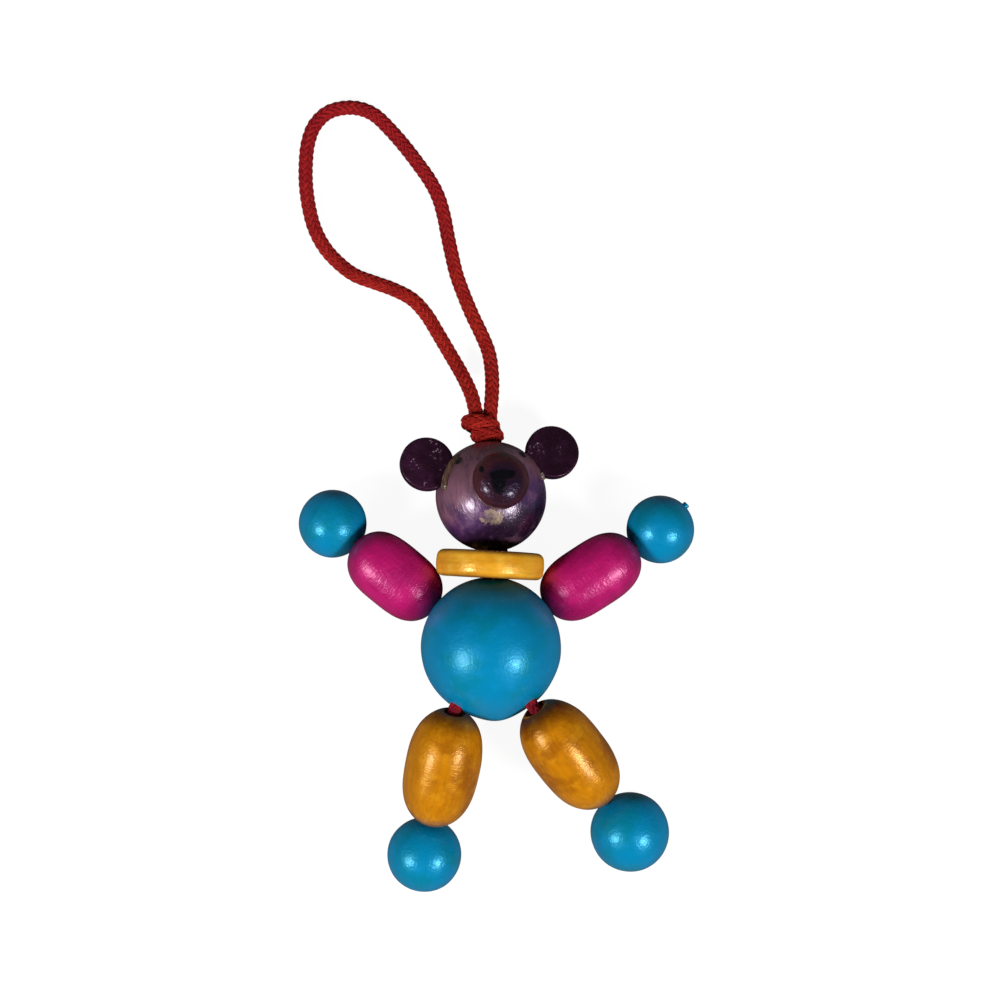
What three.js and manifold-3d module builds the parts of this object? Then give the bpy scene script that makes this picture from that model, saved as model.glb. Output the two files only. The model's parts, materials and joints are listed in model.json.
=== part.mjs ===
// A wooden bead doll, a small bear of turned and lacquered beads strung on cord, lying on its back.
// Millimetres. +Z is up from the table, +Y runs from the feet to the head, and +X is to the right
// of someone who looks down at the face. Left and right are as that person sees them.
import * as THREE from 'three';
import { mergeVertices } from 'three/addons/utils/BufferGeometryUtils.js';
import Module from 'manifold-3d';

const wasm = await Module();
wasm.setup();

// Fits
const seatGap = 0.3; // between pieces that touch on the real doll
const strandSlack = 0.4; // between a cord and the bore that it runs through
const overrun = 2; // how far a cutting tool passes the surface that it cuts
const drillLip = 0.35; // the flat that the drill leaves round the hole of a barrel bead
const mouthLand = 1.5; // degrees, the same flat on a ball bead

// Facets
const ballFacets = 32;
const ballRows = 18;
const beadFacets = 24;
const beadRows = 14;
const barrelRows = 10;
const wideBoreFacets = 16;
const boreFacets = 12;
const wrapRows = 10;
const rimRows = 4; // of the collar's rim and of a cord's round end
const edgeRows = 2; // of an ear's edge
const bendRows = 6; // of the ball of cord at a shoulder or hip
const cordSides = 8;
const thinCordSides = 6;
const torsoCordSteps = 12;
const loopSteps = 64;

// Cords
const cordRadius = 1.55; // braided cotton cord of the loop, neck and legs
const armCordRadius = 0.75; // thin cord through the arms
const strandGap = 0.25; // between the two strands that share the neck bore
const neckBendGap = 1; // between the rounded cord ends at a neck pivot
const legBoreSlack = 0.5; // between the cord and the wide bore of a leg

// Torso
const torsoRadius = 15;
const hipBoreRadius = 2.25;
const hipRise = 4.5; // the leg holes are drilled this far in front of its middle
const armBoreRadius = 1.2;
const strandFront = 0.3; // the strands inside lie a little in front of the arm cord
const strandParallel = 9; // above this height over its centre they run side by side
const strandParting = 3.5; // here they begin to part
const strandTurn = 0.2; // and here they turn towards the hips
const hipShares = [0.22, 0.45, 0.75, 1]; // route points on the way from the centre to the hip

// Collar
const collarRadius = 11.55;
const collarThickness = 5.75;
const collarRimRadius = 1.6; // rounding of its rim
const collarBoreRadius = 4.9;
const collarTilt = -3; // degrees in the plane of the table
const collarShift = -1.15; // how far it has slipped sideways on its strands
const collarGap = -0.3; // to the torso's crown, which the neck bore cuts away

// Head, with its parts in the head's own frame: X to the right, Y up the bore, Z out of the face
const headRadius = 11.8;
const headGap = 0.64; // to the collar
const headRoll = 6.8; // degrees, lean to the left
const headTurn = 10.2; // degrees, turn to the right
const earRadius = 5.83;
const earThickness = 2.2;
const earEdgeRadius = 0.35;
const earAngle = 28.95; // degrees from the head's side up to an ear
const earBite = 1.9; // how deep its edge is let into the head
const earForward = 2.5; // towards the face
const snoutSink = 1.3; // how deep its flat back is let into the head
const snoutFront = 6.5; // from its back to its front
const snoutOutline = [ // radius, and distance in front of its back
  [5.2, 0],
  [5.8, 1.5],
  [6, 2.8],
  [5.64, 4.36],
  [5.1, 5.6],
  [4.2, 6.12],
  [2.1, 6.42],
];

// Neck: the two pivots of the neck strands
const neckShift = 0.43; // the neck bore is a little to the right of the torso's middle
const neckBase = new THREE.Vector3(neckShift, torsoRadius + collarGap / 2, torsoRadius);
const neckLean = -10.5; // degrees in the plane of the table
const neckSlope = -2.5; // degrees out of it

// Arms
const armRadius = 7.25;
const armBluntness = 3.2;
const armGap = 0.5; // between torso and arm
const wristGap = 0.8;
const shoulderDrop = 4.3; // the arm hole passes this far behind the middle of the torso
const pegRadius = 0.75;
const pegLength = 4.5;

// Legs
const legRadius = 8;
const legBluntness = 2.75;
const hipGap = 1.1;
const ankleGap = 0.8;
const footBoreDepth = 0.6; // share of the foot's diameter

// Hand-turned beads differ a little from side to side
const leftArmLength = 21.65;
const rightArmLength = 22.75;
const leftHandRadius = 7.4;
const rightHandRadius = 7.4;
const leftPegProud = 0;
const rightPegProud = 0.7;
const leftLegLength = 26.9;
const rightLegLength = 27.55;
const leftFootRadius = 8.05;
const rightFootRadius = 8.55;

// The pose. Bearings are anticlockwise from +X, slopes are out of the table
const sides = [
  {
    name: 'left',
    shoulderBearing: 146.5,
    armBearing: 140.6,
    armSlope: 2.2,
    armLength: leftArmLength,
    handRadius: leftHandRadius,
    pegProud: leftPegProud,
    hipBearing: -121.1,
    legBearing: -101.8,
    legSlope: -12,
    legLength: leftLegLength,
    footRadius: leftFootRadius,
  },
  {
    name: 'right',
    shoulderBearing: 35.8,
    armBearing: 33.6,
    armSlope: 2,
    armLength: rightArmLength,
    handRadius: rightHandRadius,
    pegProud: rightPegProud,
    hipBearing: -53.8,
    legBearing: -53.2,
    legSlope: -14,
    legLength: rightLegLength,
    footRadius: rightFootRadius,
  },
];

// Knot, over the crown of the head: the two wraps of the doubled cord, as centre and half sizes
const knotWraps = [
  { centre: [0.9, 1.3, 0.2], half: [3.6, 2.25, 3.3] },
  { centre: [-0.4, 4.7, 0], half: [4.1, 2.1, 3.6] },
];
const knotTop = 6.6;

// The loop's centreline from the knot's left strand round to its right one, measured from the
// torso's centre in X and Y, and from the table in Z
const loopRoute = [
  [-3.4, 51, 7.3],
  [-4.4, 54.8, 6],
  [-6.4, 59.1, 3.9],
  [-9.1, 63.8, 2.2],
  [-11.8, 68.4, 1.6],
  [-14.4, 72.6, 1.6],
  [-17.5, 75.9, 1.6],
  [-21.7, 78.1, 1.6],
  [-25.9, 79.6, 1.6],
  [-30.1, 81.2, 1.6],
  [-33.6, 83.8, 1.6],
  [-36.7, 87.2, 1.6],
  [-38.9, 91.3, 1.6],
  [-40.2, 96, 1.6],
  [-40.9, 101.3, 1.6],
  [-40.9, 106.4, 1.6],
  [-40.4, 110.5, 1.6],
  [-39, 114.2, 1.6],
  [-36.2, 117, 1.6],
  [-32.5, 118.1, 1.6],
  [-28.9, 117.9, 1.6],
  [-25.7, 116.5, 1.6],
  [-22.8, 113.8, 1.6],
  [-19.5, 110.1, 1.6],
  [-16.4, 106.1, 1.6],
  [-13.5, 102, 1.6],
  [-11.6, 98.2, 1.6],
  [-10.4, 94, 1.6],
  [-9.6, 89.8, 1.6],
  [-8.7, 85.6, 1.6],
  [-7.7, 81.4, 1.6],
  [-6.2, 77.2, 1.6],
  [-4.3, 72.6, 1.6],
  [-2.3, 68.4, 1.7],
  [-0.6, 64.2, 2.5],
  [0.1, 59.9, 4],
  [0.2, 55.6, 6],
  [-0.1, 51.4, 7.3],
];

// Worked out from the sizes above
const strandOffset = cordRadius + strandGap / 2;
const neckBoreRadius = strandOffset + cordRadius + strandSlack;
const neckLength = collarThickness + collarGap / 2;
const collarMiddle = (collarGap + collarThickness) / 2;
const headRise = headRadius + headGap;
const legBoreRadius = cordRadius + legBoreSlack;
const [[snoutSeatRadius]] = snoutOutline;
const snoutBack = headRadius - snoutSink;

const rad = THREE.MathUtils.degToRad;

// Materials
function finish(color, roughness) {
  return new THREE.MeshStandardMaterial({ color, roughness, metalness: 0 });
}
const blueLacquer = finish('#0f7fb8', 0.35);
const pinkLacquer = finish('#b5106e', 0.35);
const amberLacquer = finish('#c47a12', 0.35);
const honeyLacquer = finish('#dd9c22', 0.35);
const violetLacquer = finish('#5a3f5e', 0.35);
const darkLacquer = finish('#2a1a2a', 0.3);
const snoutLacquer = finish('#40202a', 0.25);
const redCotton = finish('#a82420', 0.95);
const pegWood = finish('#0f7fb8', 0.5);

// Solids for cutting and joining
function toSolid(geometry) {
  const bare = geometry.index ? geometry.toNonIndexed() : geometry.clone();
  bare.deleteAttribute('normal');
  bare.deleteAttribute('uv');
  const merged = mergeVertices(bare, 1e-4);
  return new wasm.Manifold(
    new wasm.Mesh({
      numProp: 3,
      vertProperties: merged.attributes.position.array,
      triVerts: new Uint32Array(merged.index.array),
    }),
  );
}

function toGeometry(solid) {
  const mesh = solid.getMesh();
  const geometry = new THREE.BufferGeometry();
  geometry.setAttribute('position', new THREE.BufferAttribute(mesh.vertProperties, 3));
  geometry.setIndex(new THREE.BufferAttribute(mesh.triVerts, 1));
  geometry.computeVertexNormals();
  return geometry;
}

function cut(geometry, tools) {
  return toGeometry(tools.reduce((solid, tool) => solid.subtract(toSolid(tool)), toSolid(geometry)));
}

function join(geometries) {
  return toGeometry(geometries.map(toSolid).reduce((a, b) => a.add(b)));
}

// A profile of [radius, height] points turned about Y
function turned(profile, segments) {
  const points = profile.map(([r, y]) => new THREE.Vector2(r, y));
  return new THREE.LatheGeometry(points, segments);
}

// Points on an arc in a turned profile, between two angles from the +Y axis
function arc(radius, centreRadius, centreHeight, from, to, steps) {
  return Array.from({ length: steps + 1 }, (_, k) => {
    const angle = rad(from + ((to - from) * k) / steps);
    return [centreRadius + radius * Math.sin(angle), centreHeight + radius * Math.cos(angle)];
  });
}

function mesh(name, geometry, material) {
  const made = new THREE.Mesh(geometry, material);
  made.name = name;
  return made;
}

// A bead with a bore all along Y: its outside from bottom to top, then the wall of the bore
function drilledBead(outside, boreRadius, segments) {
  const [first] = outside;
  const last = outside[outside.length - 1];
  return turned([...outside, [boreRadius, last[1]], [boreRadius, first[1]], first], segments);
}

// A barrel bead, centred: the bluntness says how square its shoulders are
function barrel(length, radius, bluntness, boreRadius) {
  const mouth = boreRadius + drillLip;
  const reach = (length / 2) * (1 - (mouth / radius) ** 2) ** (1 / bluntness);
  const outside = Array.from({ length: barrelRows + 1 }, (_, k) => {
    const y = -reach * Math.cos((Math.PI * k) / barrelRows);
    return [radius * Math.sqrt(1 - Math.abs((2 * y) / length) ** bluntness), y];
  });
  return drilledBead(outside, boreRadius, beadFacets);
}

// A ball bead with a bore all along Y
function drilledBall(radius, boreRadius) {
  const mouthAngle = THREE.MathUtils.radToDeg(Math.asin(boreRadius / radius)) + mouthLand;
  const outside = arc(radius, 0, 0, 180 - mouthAngle, mouthAngle, beadFacets / 2);
  return drilledBead(outside, boreRadius, beadFacets);
}

// A straight stretch of cord along Y. A round or flat end has its tip at y. A hollow end is cut
// round the ball of cord at a pivot, and y is that pivot
function cordStretch(radius, from, to, segments) {
  const hollowEnd = (y, inward) => {
    const hollow = radius + seatGap;
    const edge = THREE.MathUtils.radToDeg(Math.asin(radius / hollow));
    return arc(hollow, 0, y, inward > 0 ? 0 : 180, inward > 0 ? edge : 180 - edge, rimRows);
  };
  const roundEnd = (y, inward) => arc(radius, 0, y + inward * radius, inward > 0 ? 180 : 0, 90, rimRows);
  const flatEnd = (y) => [
    [0, y],
    [radius, y],
  ];
  const shapes = { hollow: hollowEnd, round: roundEnd, flat: flatEnd };
  const bottom = shapes[from.end](from.y, 1);
  const top = shapes[to.end](to.y, -1);
  return turned([...bottom, ...top.reverse()], segments);
}

function cylinder(radius, length, segments) {
  return new THREE.CylinderGeometry(radius, radius, length, segments);
}

// A cylinder between two points
function rod(radius, start, end, segments) {
  const along = end.clone().sub(start);
  const turn = new THREE.Quaternion().setFromUnitVectors(new THREE.Vector3(0, 1, 0), along.clone().normalize());
  const middle = start.clone().add(end).multiplyScalar(0.5);
  return cylinder(radius, along.length(), segments).applyQuaternion(turn).translate(...middle.toArray());
}

// A cord along a curve through points
function cordAlong(points, radius, steps) {
  const curve = new THREE.CatmullRomCurve3(points, false, 'centripetal');
  const corners = Array.from({ length: cordSides }, (_, k) => {
    const angle = (2 * Math.PI * (k + 0.5)) / cordSides;
    return new THREE.Vector2(radius * Math.cos(angle), radius * Math.sin(angle));
  });
  return new THREE.ExtrudeGeometry(new THREE.Shape(corners), { steps, bevelEnabled: false, extrudePath: curve });
}

// A group whose Y axis runs out along a limb: it turns about Z in the plane of the table
function heading(name, position, bearing) {
  const group = new THREE.Group();
  group.name = name;
  group.position.copy(position);
  group.rotation.z = rad(bearing - 90);
  return group;
}

// A group inside a heading, which slopes out of the plane of the table
function slope(name, degrees) {
  const group = new THREE.Group();
  group.name = name;
  group.rotation.x = rad(degrees);
  return group;
}

function outward(bearing, distance, height) {
  return new THREE.Vector3(distance * Math.cos(rad(bearing)), distance * Math.sin(rad(bearing)), height);
}

const root = new THREE.Group();
const doll = new THREE.Group();
root.add(doll);

// Torso
const torsoCentre = new THREE.Vector3(0, 0, torsoRadius);
const armPivotReach = Math.sqrt((torsoRadius + armGap / 2) ** 2 - shoulderDrop ** 2);
const armPivots = sides.map((side) =>
  outward(side.shoulderBearing, armPivotReach, torsoRadius - shoulderDrop),
);
const hipPivotReach = Math.sqrt((torsoRadius + hipGap / 2) ** 2 - hipRise ** 2);
const hipPivots = sides.map((side) => outward(side.hipBearing, hipPivotReach, torsoRadius + hipRise));

function torsoBead() {
  const ball = new THREE.SphereGeometry(torsoRadius, ballFacets, ballRows)
    .rotateX(Math.PI / 2)
    .translate(...torsoCentre.toArray());
  const neckMouth = neckBase.clone().add(new THREE.Vector3(0, overrun, 0));
  const neckBore = rod(neckBoreRadius, torsoCentre, neckMouth, wideBoreFacets);
  const bottom = new THREE.SphereGeometry(neckBoreRadius, wideBoreFacets, wrapRows).translate(
    ...torsoCentre.toArray(),
  );
  const armSpan = armPivots[1].clone().sub(armPivots[0]).normalize().multiplyScalar(overrun);
  const armBore = rod(
    armBoreRadius,
    armPivots[0].clone().sub(armSpan),
    armPivots[1].clone().add(armSpan),
    boreFacets,
  );
  const hipBores = hipPivots.map((pivot) => {
    const past = pivot.clone().sub(torsoCentre).setLength(torsoRadius + overrun).add(torsoCentre);
    return rod(hipBoreRadius, torsoCentre, past, boreFacets);
  });
  return cut(ball, [neckBore, bottom, armBore, ...hipBores]);
}
doll.add(mesh('torso_bead', torsoBead(), blueLacquer));

// The two strands of the main cord inside the torso, from the neck to each hip
sides.forEach((side, k) => {
  const hip = hipPivots[k].clone().sub(torsoCentre);
  const across = k ? strandOffset : -strandOffset;
  const top = neckBase.y - neckBendGap / 2;
  const points = [
    new THREE.Vector3(neckBase.x + across, top, strandFront),
    new THREE.Vector3(neckBase.x + across, strandParallel, strandFront),
    new THREE.Vector3(across, strandParting, strandFront),
    new THREE.Vector3(across, strandTurn, strandFront),
    ...hipShares.map((share) => hip.clone().multiplyScalar(share)),
  ].map((point) => point.add(torsoCentre));
  const room = new THREE.SphereGeometry(cordRadius + seatGap, wideBoreFacets, wrapRows).translate(
    ...hipPivots[k].toArray(),
  );
  const strand = cut(cordAlong(points, cordRadius, torsoCordSteps), [room]);
  doll.add(mesh(`${side.name}_torso_cord`, strand, redCotton));
});

// The thin cord across the torso, from shoulder to shoulder behind the two strands
const armCord = new THREE.Group();
const armSpan = armPivots[1].clone().sub(armPivots[0]);
armCord.position.copy(armPivots[0]);
armCord.quaternion.setFromUnitVectors(new THREE.Vector3(0, 1, 0), armSpan.clone().normalize());
armCord.add(
  mesh(
    'shoulder_cord',
    cordStretch(armCordRadius, { y: 0, end: 'hollow' }, { y: armSpan.length(), end: 'hollow' }, thinCordSides),
    redCotton,
  ),
);
doll.add(armCord);

// A limb of one barrel bead and one ball, carried by a cord that bends at the torso and again
// between the beads. The ball rests on the table
function limb(parts, sizes) {
  const swing = heading(parts.swing, sizes.pivot, sizes.bearing);
  swing.add(mesh(parts.bend, new THREE.SphereGeometry(sizes.cordRadius, sizes.sides, bendRows), redCotton));

  const farPivot = sizes.gap / 2 + sizes.length + sizes.endGap / 2;
  const lift = slope(parts.lift, sizes.slope);
  lift.add(
    mesh(
      parts.cord,
      cordStretch(
        sizes.cordRadius,
        { y: 0, end: 'hollow' },
        { y: farPivot - seatGap / 2, end: 'round' },
        sizes.sides,
      ),
      redCotton,
    ),
  );
  swing.add(lift);

  const spin = new THREE.Group();
  spin.name = parts.spin;
  spin.position.y = sizes.gap / 2 + sizes.length / 2;
  spin.add(
    mesh(parts.bead, barrel(sizes.length, sizes.radius, sizes.bluntness, sizes.boreRadius), parts.beadFinish),
  );
  lift.add(spin);

  // The far ball stays on the table, whatever the slope of the barrel
  const pivotHeight = sizes.pivot.z + farPivot * Math.sin(rad(sizes.slope));
  const ballReach = sizes.endGap / 2 + sizes.ballRadius;
  const ballSlope = THREE.MathUtils.radToDeg(Math.asin((sizes.ballRadius - pivotHeight) / ballReach));
  const bend = new THREE.Group();
  bend.name = parts.endSwing;
  bend.position.y = farPivot;
  const end = slope('', ballSlope - sizes.slope);
  const ball = parts.ball(sizes);
  ball.position.y = ballReach;
  end.add(
    ball,
    mesh(
      parts.cordEnd,
      cordStretch(
        sizes.cordRadius,
        { y: seatGap / 2, end: 'round' },
        { y: sizes.cordEnd, end: 'flat' },
        sizes.sides,
      ),
      redCotton,
    ),
  );
  if (parts.peg) end.add(parts.peg);
  bend.add(end);
  lift.add(bend);
  doll.add(swing);
}

// A hand is drilled right through, and a peg from its far side wedges the cord
function hand(name) {
  return (sizes) => mesh(name, drilledBall(sizes.ballRadius, sizes.boreRadius), blueLacquer);
}

// A foot has a blind hole, in which the cord is glued
function foot(name) {
  return (sizes) => {
    const ball = new THREE.SphereGeometry(sizes.ballRadius, beadFacets, beadRows);
    const depth = 2 * sizes.ballRadius * footBoreDepth + seatGap;
    const hole = cylinder(sizes.boreRadius, depth + overrun, boreFacets).translate(
      0,
      -sizes.ballRadius + (depth - overrun) / 2,
      0,
    );
    return mesh(name, cut(ball, [hole]), blueLacquer);
  };
}

function handPeg(name, outerEnd) {
  const peg = mesh(name, cylinder(pegRadius, pegLength, boreFacets), pegWood);
  peg.position.y = outerEnd - pegLength / 2;
  return peg;
}

sides.forEach((side, k) => {
  const name = side.name;
  const handMouth = Math.sqrt(side.handRadius ** 2 - armBoreRadius ** 2);
  const pegEnd = wristGap / 2 + side.handRadius + handMouth + side.pegProud;
  limb(
    {
      swing: `${name}_arm_swing`,
      lift: `${name}_arm_lift`,
      spin: `${name}_arm_spin`,
      endSwing: `${name}_hand_swing`,
      bend: `${name}_shoulder_bend`,
      cord: `${name}_arm_cord`,
      bead: `${name}_arm_bead`,
      beadFinish: pinkLacquer,
      ball: hand(`${name}_hand_bead`),
      cordEnd: `${name}_hand_cord`,
      peg: handPeg(`${name}_hand_peg`, pegEnd),
    },
    {
      pivot: armPivots[k],
      bearing: side.armBearing,
      slope: side.armSlope,
      gap: armGap,
      endGap: wristGap,
      length: side.armLength,
      radius: armRadius,
      bluntness: armBluntness,
      boreRadius: armBoreRadius,
      cordRadius: armCordRadius,
      cordEnd: pegEnd - pegLength - seatGap,
      ballRadius: side.handRadius,
      sides: thinCordSides,
    },
  );
  limb(
    {
      swing: `${name}_leg_swing`,
      lift: `${name}_leg_lift`,
      spin: `${name}_leg_spin`,
      endSwing: `${name}_foot_swing`,
      bend: `${name}_hip_bend`,
      cord: `${name}_leg_cord`,
      bead: `${name}_leg_bead`,
      beadFinish: amberLacquer,
      ball: foot(`${name}_foot_bead`),
      cordEnd: `${name}_foot_cord`,
    },
    {
      pivot: hipPivots[k],
      bearing: side.legBearing,
      slope: side.legSlope,
      gap: hipGap,
      endGap: ankleGap,
      length: side.legLength,
      radius: legRadius,
      bluntness: legBluntness,
      boreRadius: legBoreRadius,
      cordRadius,
      cordEnd: ankleGap / 2 + 2 * side.footRadius * footBoreDepth,
      ballRadius: side.footRadius,
      sides: cordSides,
    },
  );
});

// Neck: two strands side by side, which nod as one on the torso
const nod = heading('head_nod', neckBase, 90 + neckLean);
const neck = slope('', neckSlope);
nod.add(neck);
doll.add(nod);

function strandPair(name, from, to) {
  return sides.map((side, k) => {
    const strand = mesh(`${side.name}_${name}`, cordStretch(cordRadius, from, to, cordSides), redCotton);
    strand.position.x = k ? strandOffset : -strandOffset;
    return strand;
  });
}
neck.add(
  ...strandPair(
    'neck_cord',
    { y: neckBendGap / 2, end: 'round' },
    { y: neckLength - neckBendGap / 2, end: 'round' },
  ),
);

// Collar: a thick washer with a rounded rim, free to turn on the neck strands
function collarDisc() {
  const half = collarThickness / 2;
  const centre = collarRadius - collarRimRadius;
  const outside = [
    [collarBoreRadius, -half],
    ...arc(collarRimRadius, centre, -half + collarRimRadius, 180, 90, rimRows),
    ...arc(collarRimRadius, centre, half - collarRimRadius, 90, 0, rimRows),
  ];
  return turned([...outside, [collarBoreRadius, half], outside[0]], ballFacets);
}
const collarSpin = new THREE.Group();
collarSpin.name = 'collar_spin';
collarSpin.position.set(collarShift, collarMiddle, 0);
collarSpin.rotation.z = rad(collarTilt - neckLean);
collarSpin.add(mesh('collar_disc', collarDisc(), honeyLacquer));
neck.add(collarSpin);

// Head: it tilts on the neck strands, and its back rests on the table
const headTop = neckBase.z + neckLength * Math.sin(rad(neckSlope));
const headSlope = -THREE.MathUtils.radToDeg(Math.asin((headTop - headRadius) / headRise));
const tilt = new THREE.Group();
tilt.name = 'head_tilt';
tilt.position.y = neckLength;
neck.add(tilt);
const skull = new THREE.Group(); // the head's frame, centred on the ball
skull.rotation.order = 'ZXY';
skull.rotation.set(rad(headSlope - neckSlope), 0, rad(headRoll - neckLean));
const headSeat = new THREE.Group();
headSeat.position.y = headRise;
skull.add(headSeat);
tilt.add(skull);
const knotBottom = headRadius + knotWraps[0].centre[1] - knotWraps[0].half[1];
headSeat.add(
  ...strandPair(
    'head_cord',
    { y: neckBendGap / 2 - headRise, end: 'round' },
    { y: knotBottom - seatGap, end: 'flat' },
  ),
);

const headTurnGroup = new THREE.Group();
headTurnGroup.name = 'head_turn';
headTurnGroup.rotation.y = rad(headTurn);
headSeat.add(headTurnGroup);

function earDisc(radius, thickness) {
  const half = thickness / 2;
  const rim = arc(earEdgeRadius, radius - earEdgeRadius, -half + earEdgeRadius, 180, 90, edgeRows);
  const top = arc(earEdgeRadius, radius - earEdgeRadius, half - earEdgeRadius, 90, 0, edgeRows);
  return turned([[0, -half], ...rim, ...top, [0, half]], beadFacets).rotateX(Math.PI / 2);
}

const earReach = Math.sqrt(headRadius ** 2 - earForward ** 2) + earRadius - earBite;
const earSide = earReach * Math.cos(rad(earAngle));
const earHeight = earReach * Math.sin(rad(earAngle));

function headBead() {
  const ball = new THREE.SphereGeometry(headRadius, ballFacets, ballRows);
  const bore = cylinder(neckBoreRadius, 2 * (headRadius + overrun), wideBoreFacets);
  const seat = cylinder(snoutSeatRadius + seatGap, headRadius, beadFacets)
    .rotateX(Math.PI / 2)
    .translate(0, 0, snoutBack - seatGap + headRadius / 2);
  const slots = [-1, 1].map((way) =>
    cylinder(earRadius + seatGap, earThickness + 2 * seatGap, beadFacets)
      .rotateX(Math.PI / 2)
      .translate(way * earSide, earHeight, earForward),
  );
  return cut(ball, [bore, seat, ...slots]);
}
headTurnGroup.add(mesh('head_bead', headBead(), violetLacquer));

sides.forEach((side, k) => {
  const ear = mesh(`${side.name}_ear`, earDisc(earRadius, earThickness), darkLacquer);
  ear.position.set(k ? earSide : -earSide, earHeight, earForward);
  headTurnGroup.add(ear);
});

const snoutProfile = [[0, 0], ...snoutOutline, [0, snoutFront]];
const snout = mesh('snout', turned(snoutProfile, beadFacets).rotateX(Math.PI / 2), snoutLacquer);
snout.position.z = snoutBack;
headTurnGroup.add(snout);

// Knot: the doubled cord is tied once round itself on top of the head
function knot() {
  return join(
    knotWraps.map(({ centre, half }) =>
      new THREE.SphereGeometry(1, wideBoreFacets, wrapRows).scale(...half).translate(...centre),
    ),
  );
}
const loopKnot = mesh('loop_knot', knot(), redCotton);
loopKnot.position.y = headRadius;
headSeat.add(loopKnot);

// Loop: it folds at the knot, and lies on the table
const loopLift = new THREE.Group();
loopLift.name = 'loop_lift';
loopLift.position.y = headRadius + knotTop + seatGap;
headSeat.add(loopLift);
const loopPoints = loopRoute.map(([x, y, z]) => new THREE.Vector3(x, y, z));
const loop = mesh('hanging_loop', cordAlong(loopPoints, cordRadius, loopSteps), redCotton);
doll.add(loop);
doll.updateMatrixWorld(true);
loopLift.attach(loop);

// The origin is under the middle of the beads, on the table. The loop is left out of that box
const box = new THREE.Box3();
doll.traverse((piece) => {
  if (piece.isMesh && piece !== loop) box.expandByObject(piece, true);
});
const middle = box.getCenter(new THREE.Vector3());
doll.position.set(-middle.x, -middle.y, -box.min.z);

export default root;
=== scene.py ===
# %% [markdown]
# A wooden bead doll: a small bear of turned and lacquered beads, strung on red cord. Every bead,
# cord and drop of glue is made here in metres, around the imported model, which stays where it is.
# That model is loaded first.

# %% Load the imported model
import json
import math

import bmesh
import bpy
from mathutils import Matrix, Vector


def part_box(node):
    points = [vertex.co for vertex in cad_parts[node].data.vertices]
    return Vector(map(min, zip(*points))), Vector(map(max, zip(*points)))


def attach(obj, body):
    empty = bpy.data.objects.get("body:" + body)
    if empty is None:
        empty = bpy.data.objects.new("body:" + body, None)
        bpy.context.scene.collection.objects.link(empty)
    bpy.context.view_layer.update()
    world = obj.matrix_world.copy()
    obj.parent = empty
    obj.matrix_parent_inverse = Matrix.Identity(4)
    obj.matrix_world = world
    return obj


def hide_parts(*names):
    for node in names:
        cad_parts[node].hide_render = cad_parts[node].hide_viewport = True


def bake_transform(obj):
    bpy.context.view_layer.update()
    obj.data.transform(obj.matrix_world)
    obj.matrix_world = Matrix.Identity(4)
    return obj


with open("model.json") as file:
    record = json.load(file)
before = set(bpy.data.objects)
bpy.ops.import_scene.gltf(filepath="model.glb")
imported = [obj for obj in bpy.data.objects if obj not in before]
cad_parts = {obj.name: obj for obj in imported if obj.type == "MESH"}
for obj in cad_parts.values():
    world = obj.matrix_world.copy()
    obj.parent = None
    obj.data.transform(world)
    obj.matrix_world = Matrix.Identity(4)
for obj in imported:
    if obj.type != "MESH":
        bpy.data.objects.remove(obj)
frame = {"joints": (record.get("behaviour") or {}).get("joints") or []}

scene = bpy.context.scene
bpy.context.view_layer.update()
mm = 0.001
full_turn = 2 * math.pi
sides = ("left", "right")
joints = {joint["name"]: joint for joint in frame["joints"]}


# %% [markdown]
# The camera looks straight down at the doll, which lies on its back. The torso is the largest
# bead, so everything is measured from its centre: the camera hangs 450 mm over it and a little
# towards the head. A long lens keeps the beads round.

# %% Camera
def put(name, data):
    """A new object in the scene."""
    made = bpy.data.objects.new(name, data)
    scene.collection.objects.link(made)
    return made


torso_radius = 15 * mm
torso_low, torso_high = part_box("torso_bead")
torso = Vector(((torso_low.x + torso_high.x) / 2, torso_low.y + torso_radius, torso_radius))
camera_from_torso, camera_angle = Vector((1.93, 31.57, 449.8)) * mm, math.radians(26.8)
scene.camera = put("camera", bpy.data.cameras.new("camera"))
scene.camera.location = torso + camera_from_torso
scene.camera.data.angle = camera_angle
print("torso centre:", [round(v / mm, 2) for v in torso])


# %% [markdown]
# Each joint says where a bead's axis runs, so the beads' frames are read from the joints instead
# of being typed again. A frame here is a matrix whose Y axis runs along the bead's bore.

# %% Frames of the beads
def bead_frame(centre, along, front=(0, 0, 1)):
    """A frame at centre, with Y along the bore and Z turned as near to front as it can be."""
    y = Vector(along).normalized()
    x = y.cross(Vector(front)).normalized()
    made = Matrix((x, y, x.cross(y))).transposed().to_4x4()
    made.translation = Vector(centre)
    return made


def pivot(name):
    return Vector(joints[name]["pos_m"])


def end_ball(swing, along, radius):
    """The frame of a hand or foot: it hangs on its pivot and rests on the table."""
    start = pivot(swing)
    reach = end_gap / 2 + radius
    rise = (radius - start.z) / reach
    flat = Vector((along[0], along[1], 0)).normalized()
    outward = flat * math.sqrt(1 - rise**2) + Vector((0, 0, rise))
    return bead_frame(start + outward * reach, outward)


hand_radius = {"left": 7.4 * mm, "right": 7.4 * mm}
foot_radius = {"left": 8.05 * mm, "right": 8.55 * mm}
end_gap = 0.8 * mm
arm_frame, leg_frame, hand_frame, foot_frame = {}, {}, {}, {}
for side in sides:
    arm, leg = joints[f"{side}_arm_spin"], joints[f"{side}_leg_spin"]
    arm_frame[side] = bead_frame(arm["pos_m"], arm["axis"])
    leg_frame[side] = bead_frame(leg["pos_m"], leg["axis"])
    hand_frame[side] = end_ball(f"{side}_hand_swing", arm["axis"], hand_radius[side])
    foot_frame[side] = end_ball(f"{side}_foot_swing", leg["axis"], foot_radius[side])

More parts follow.
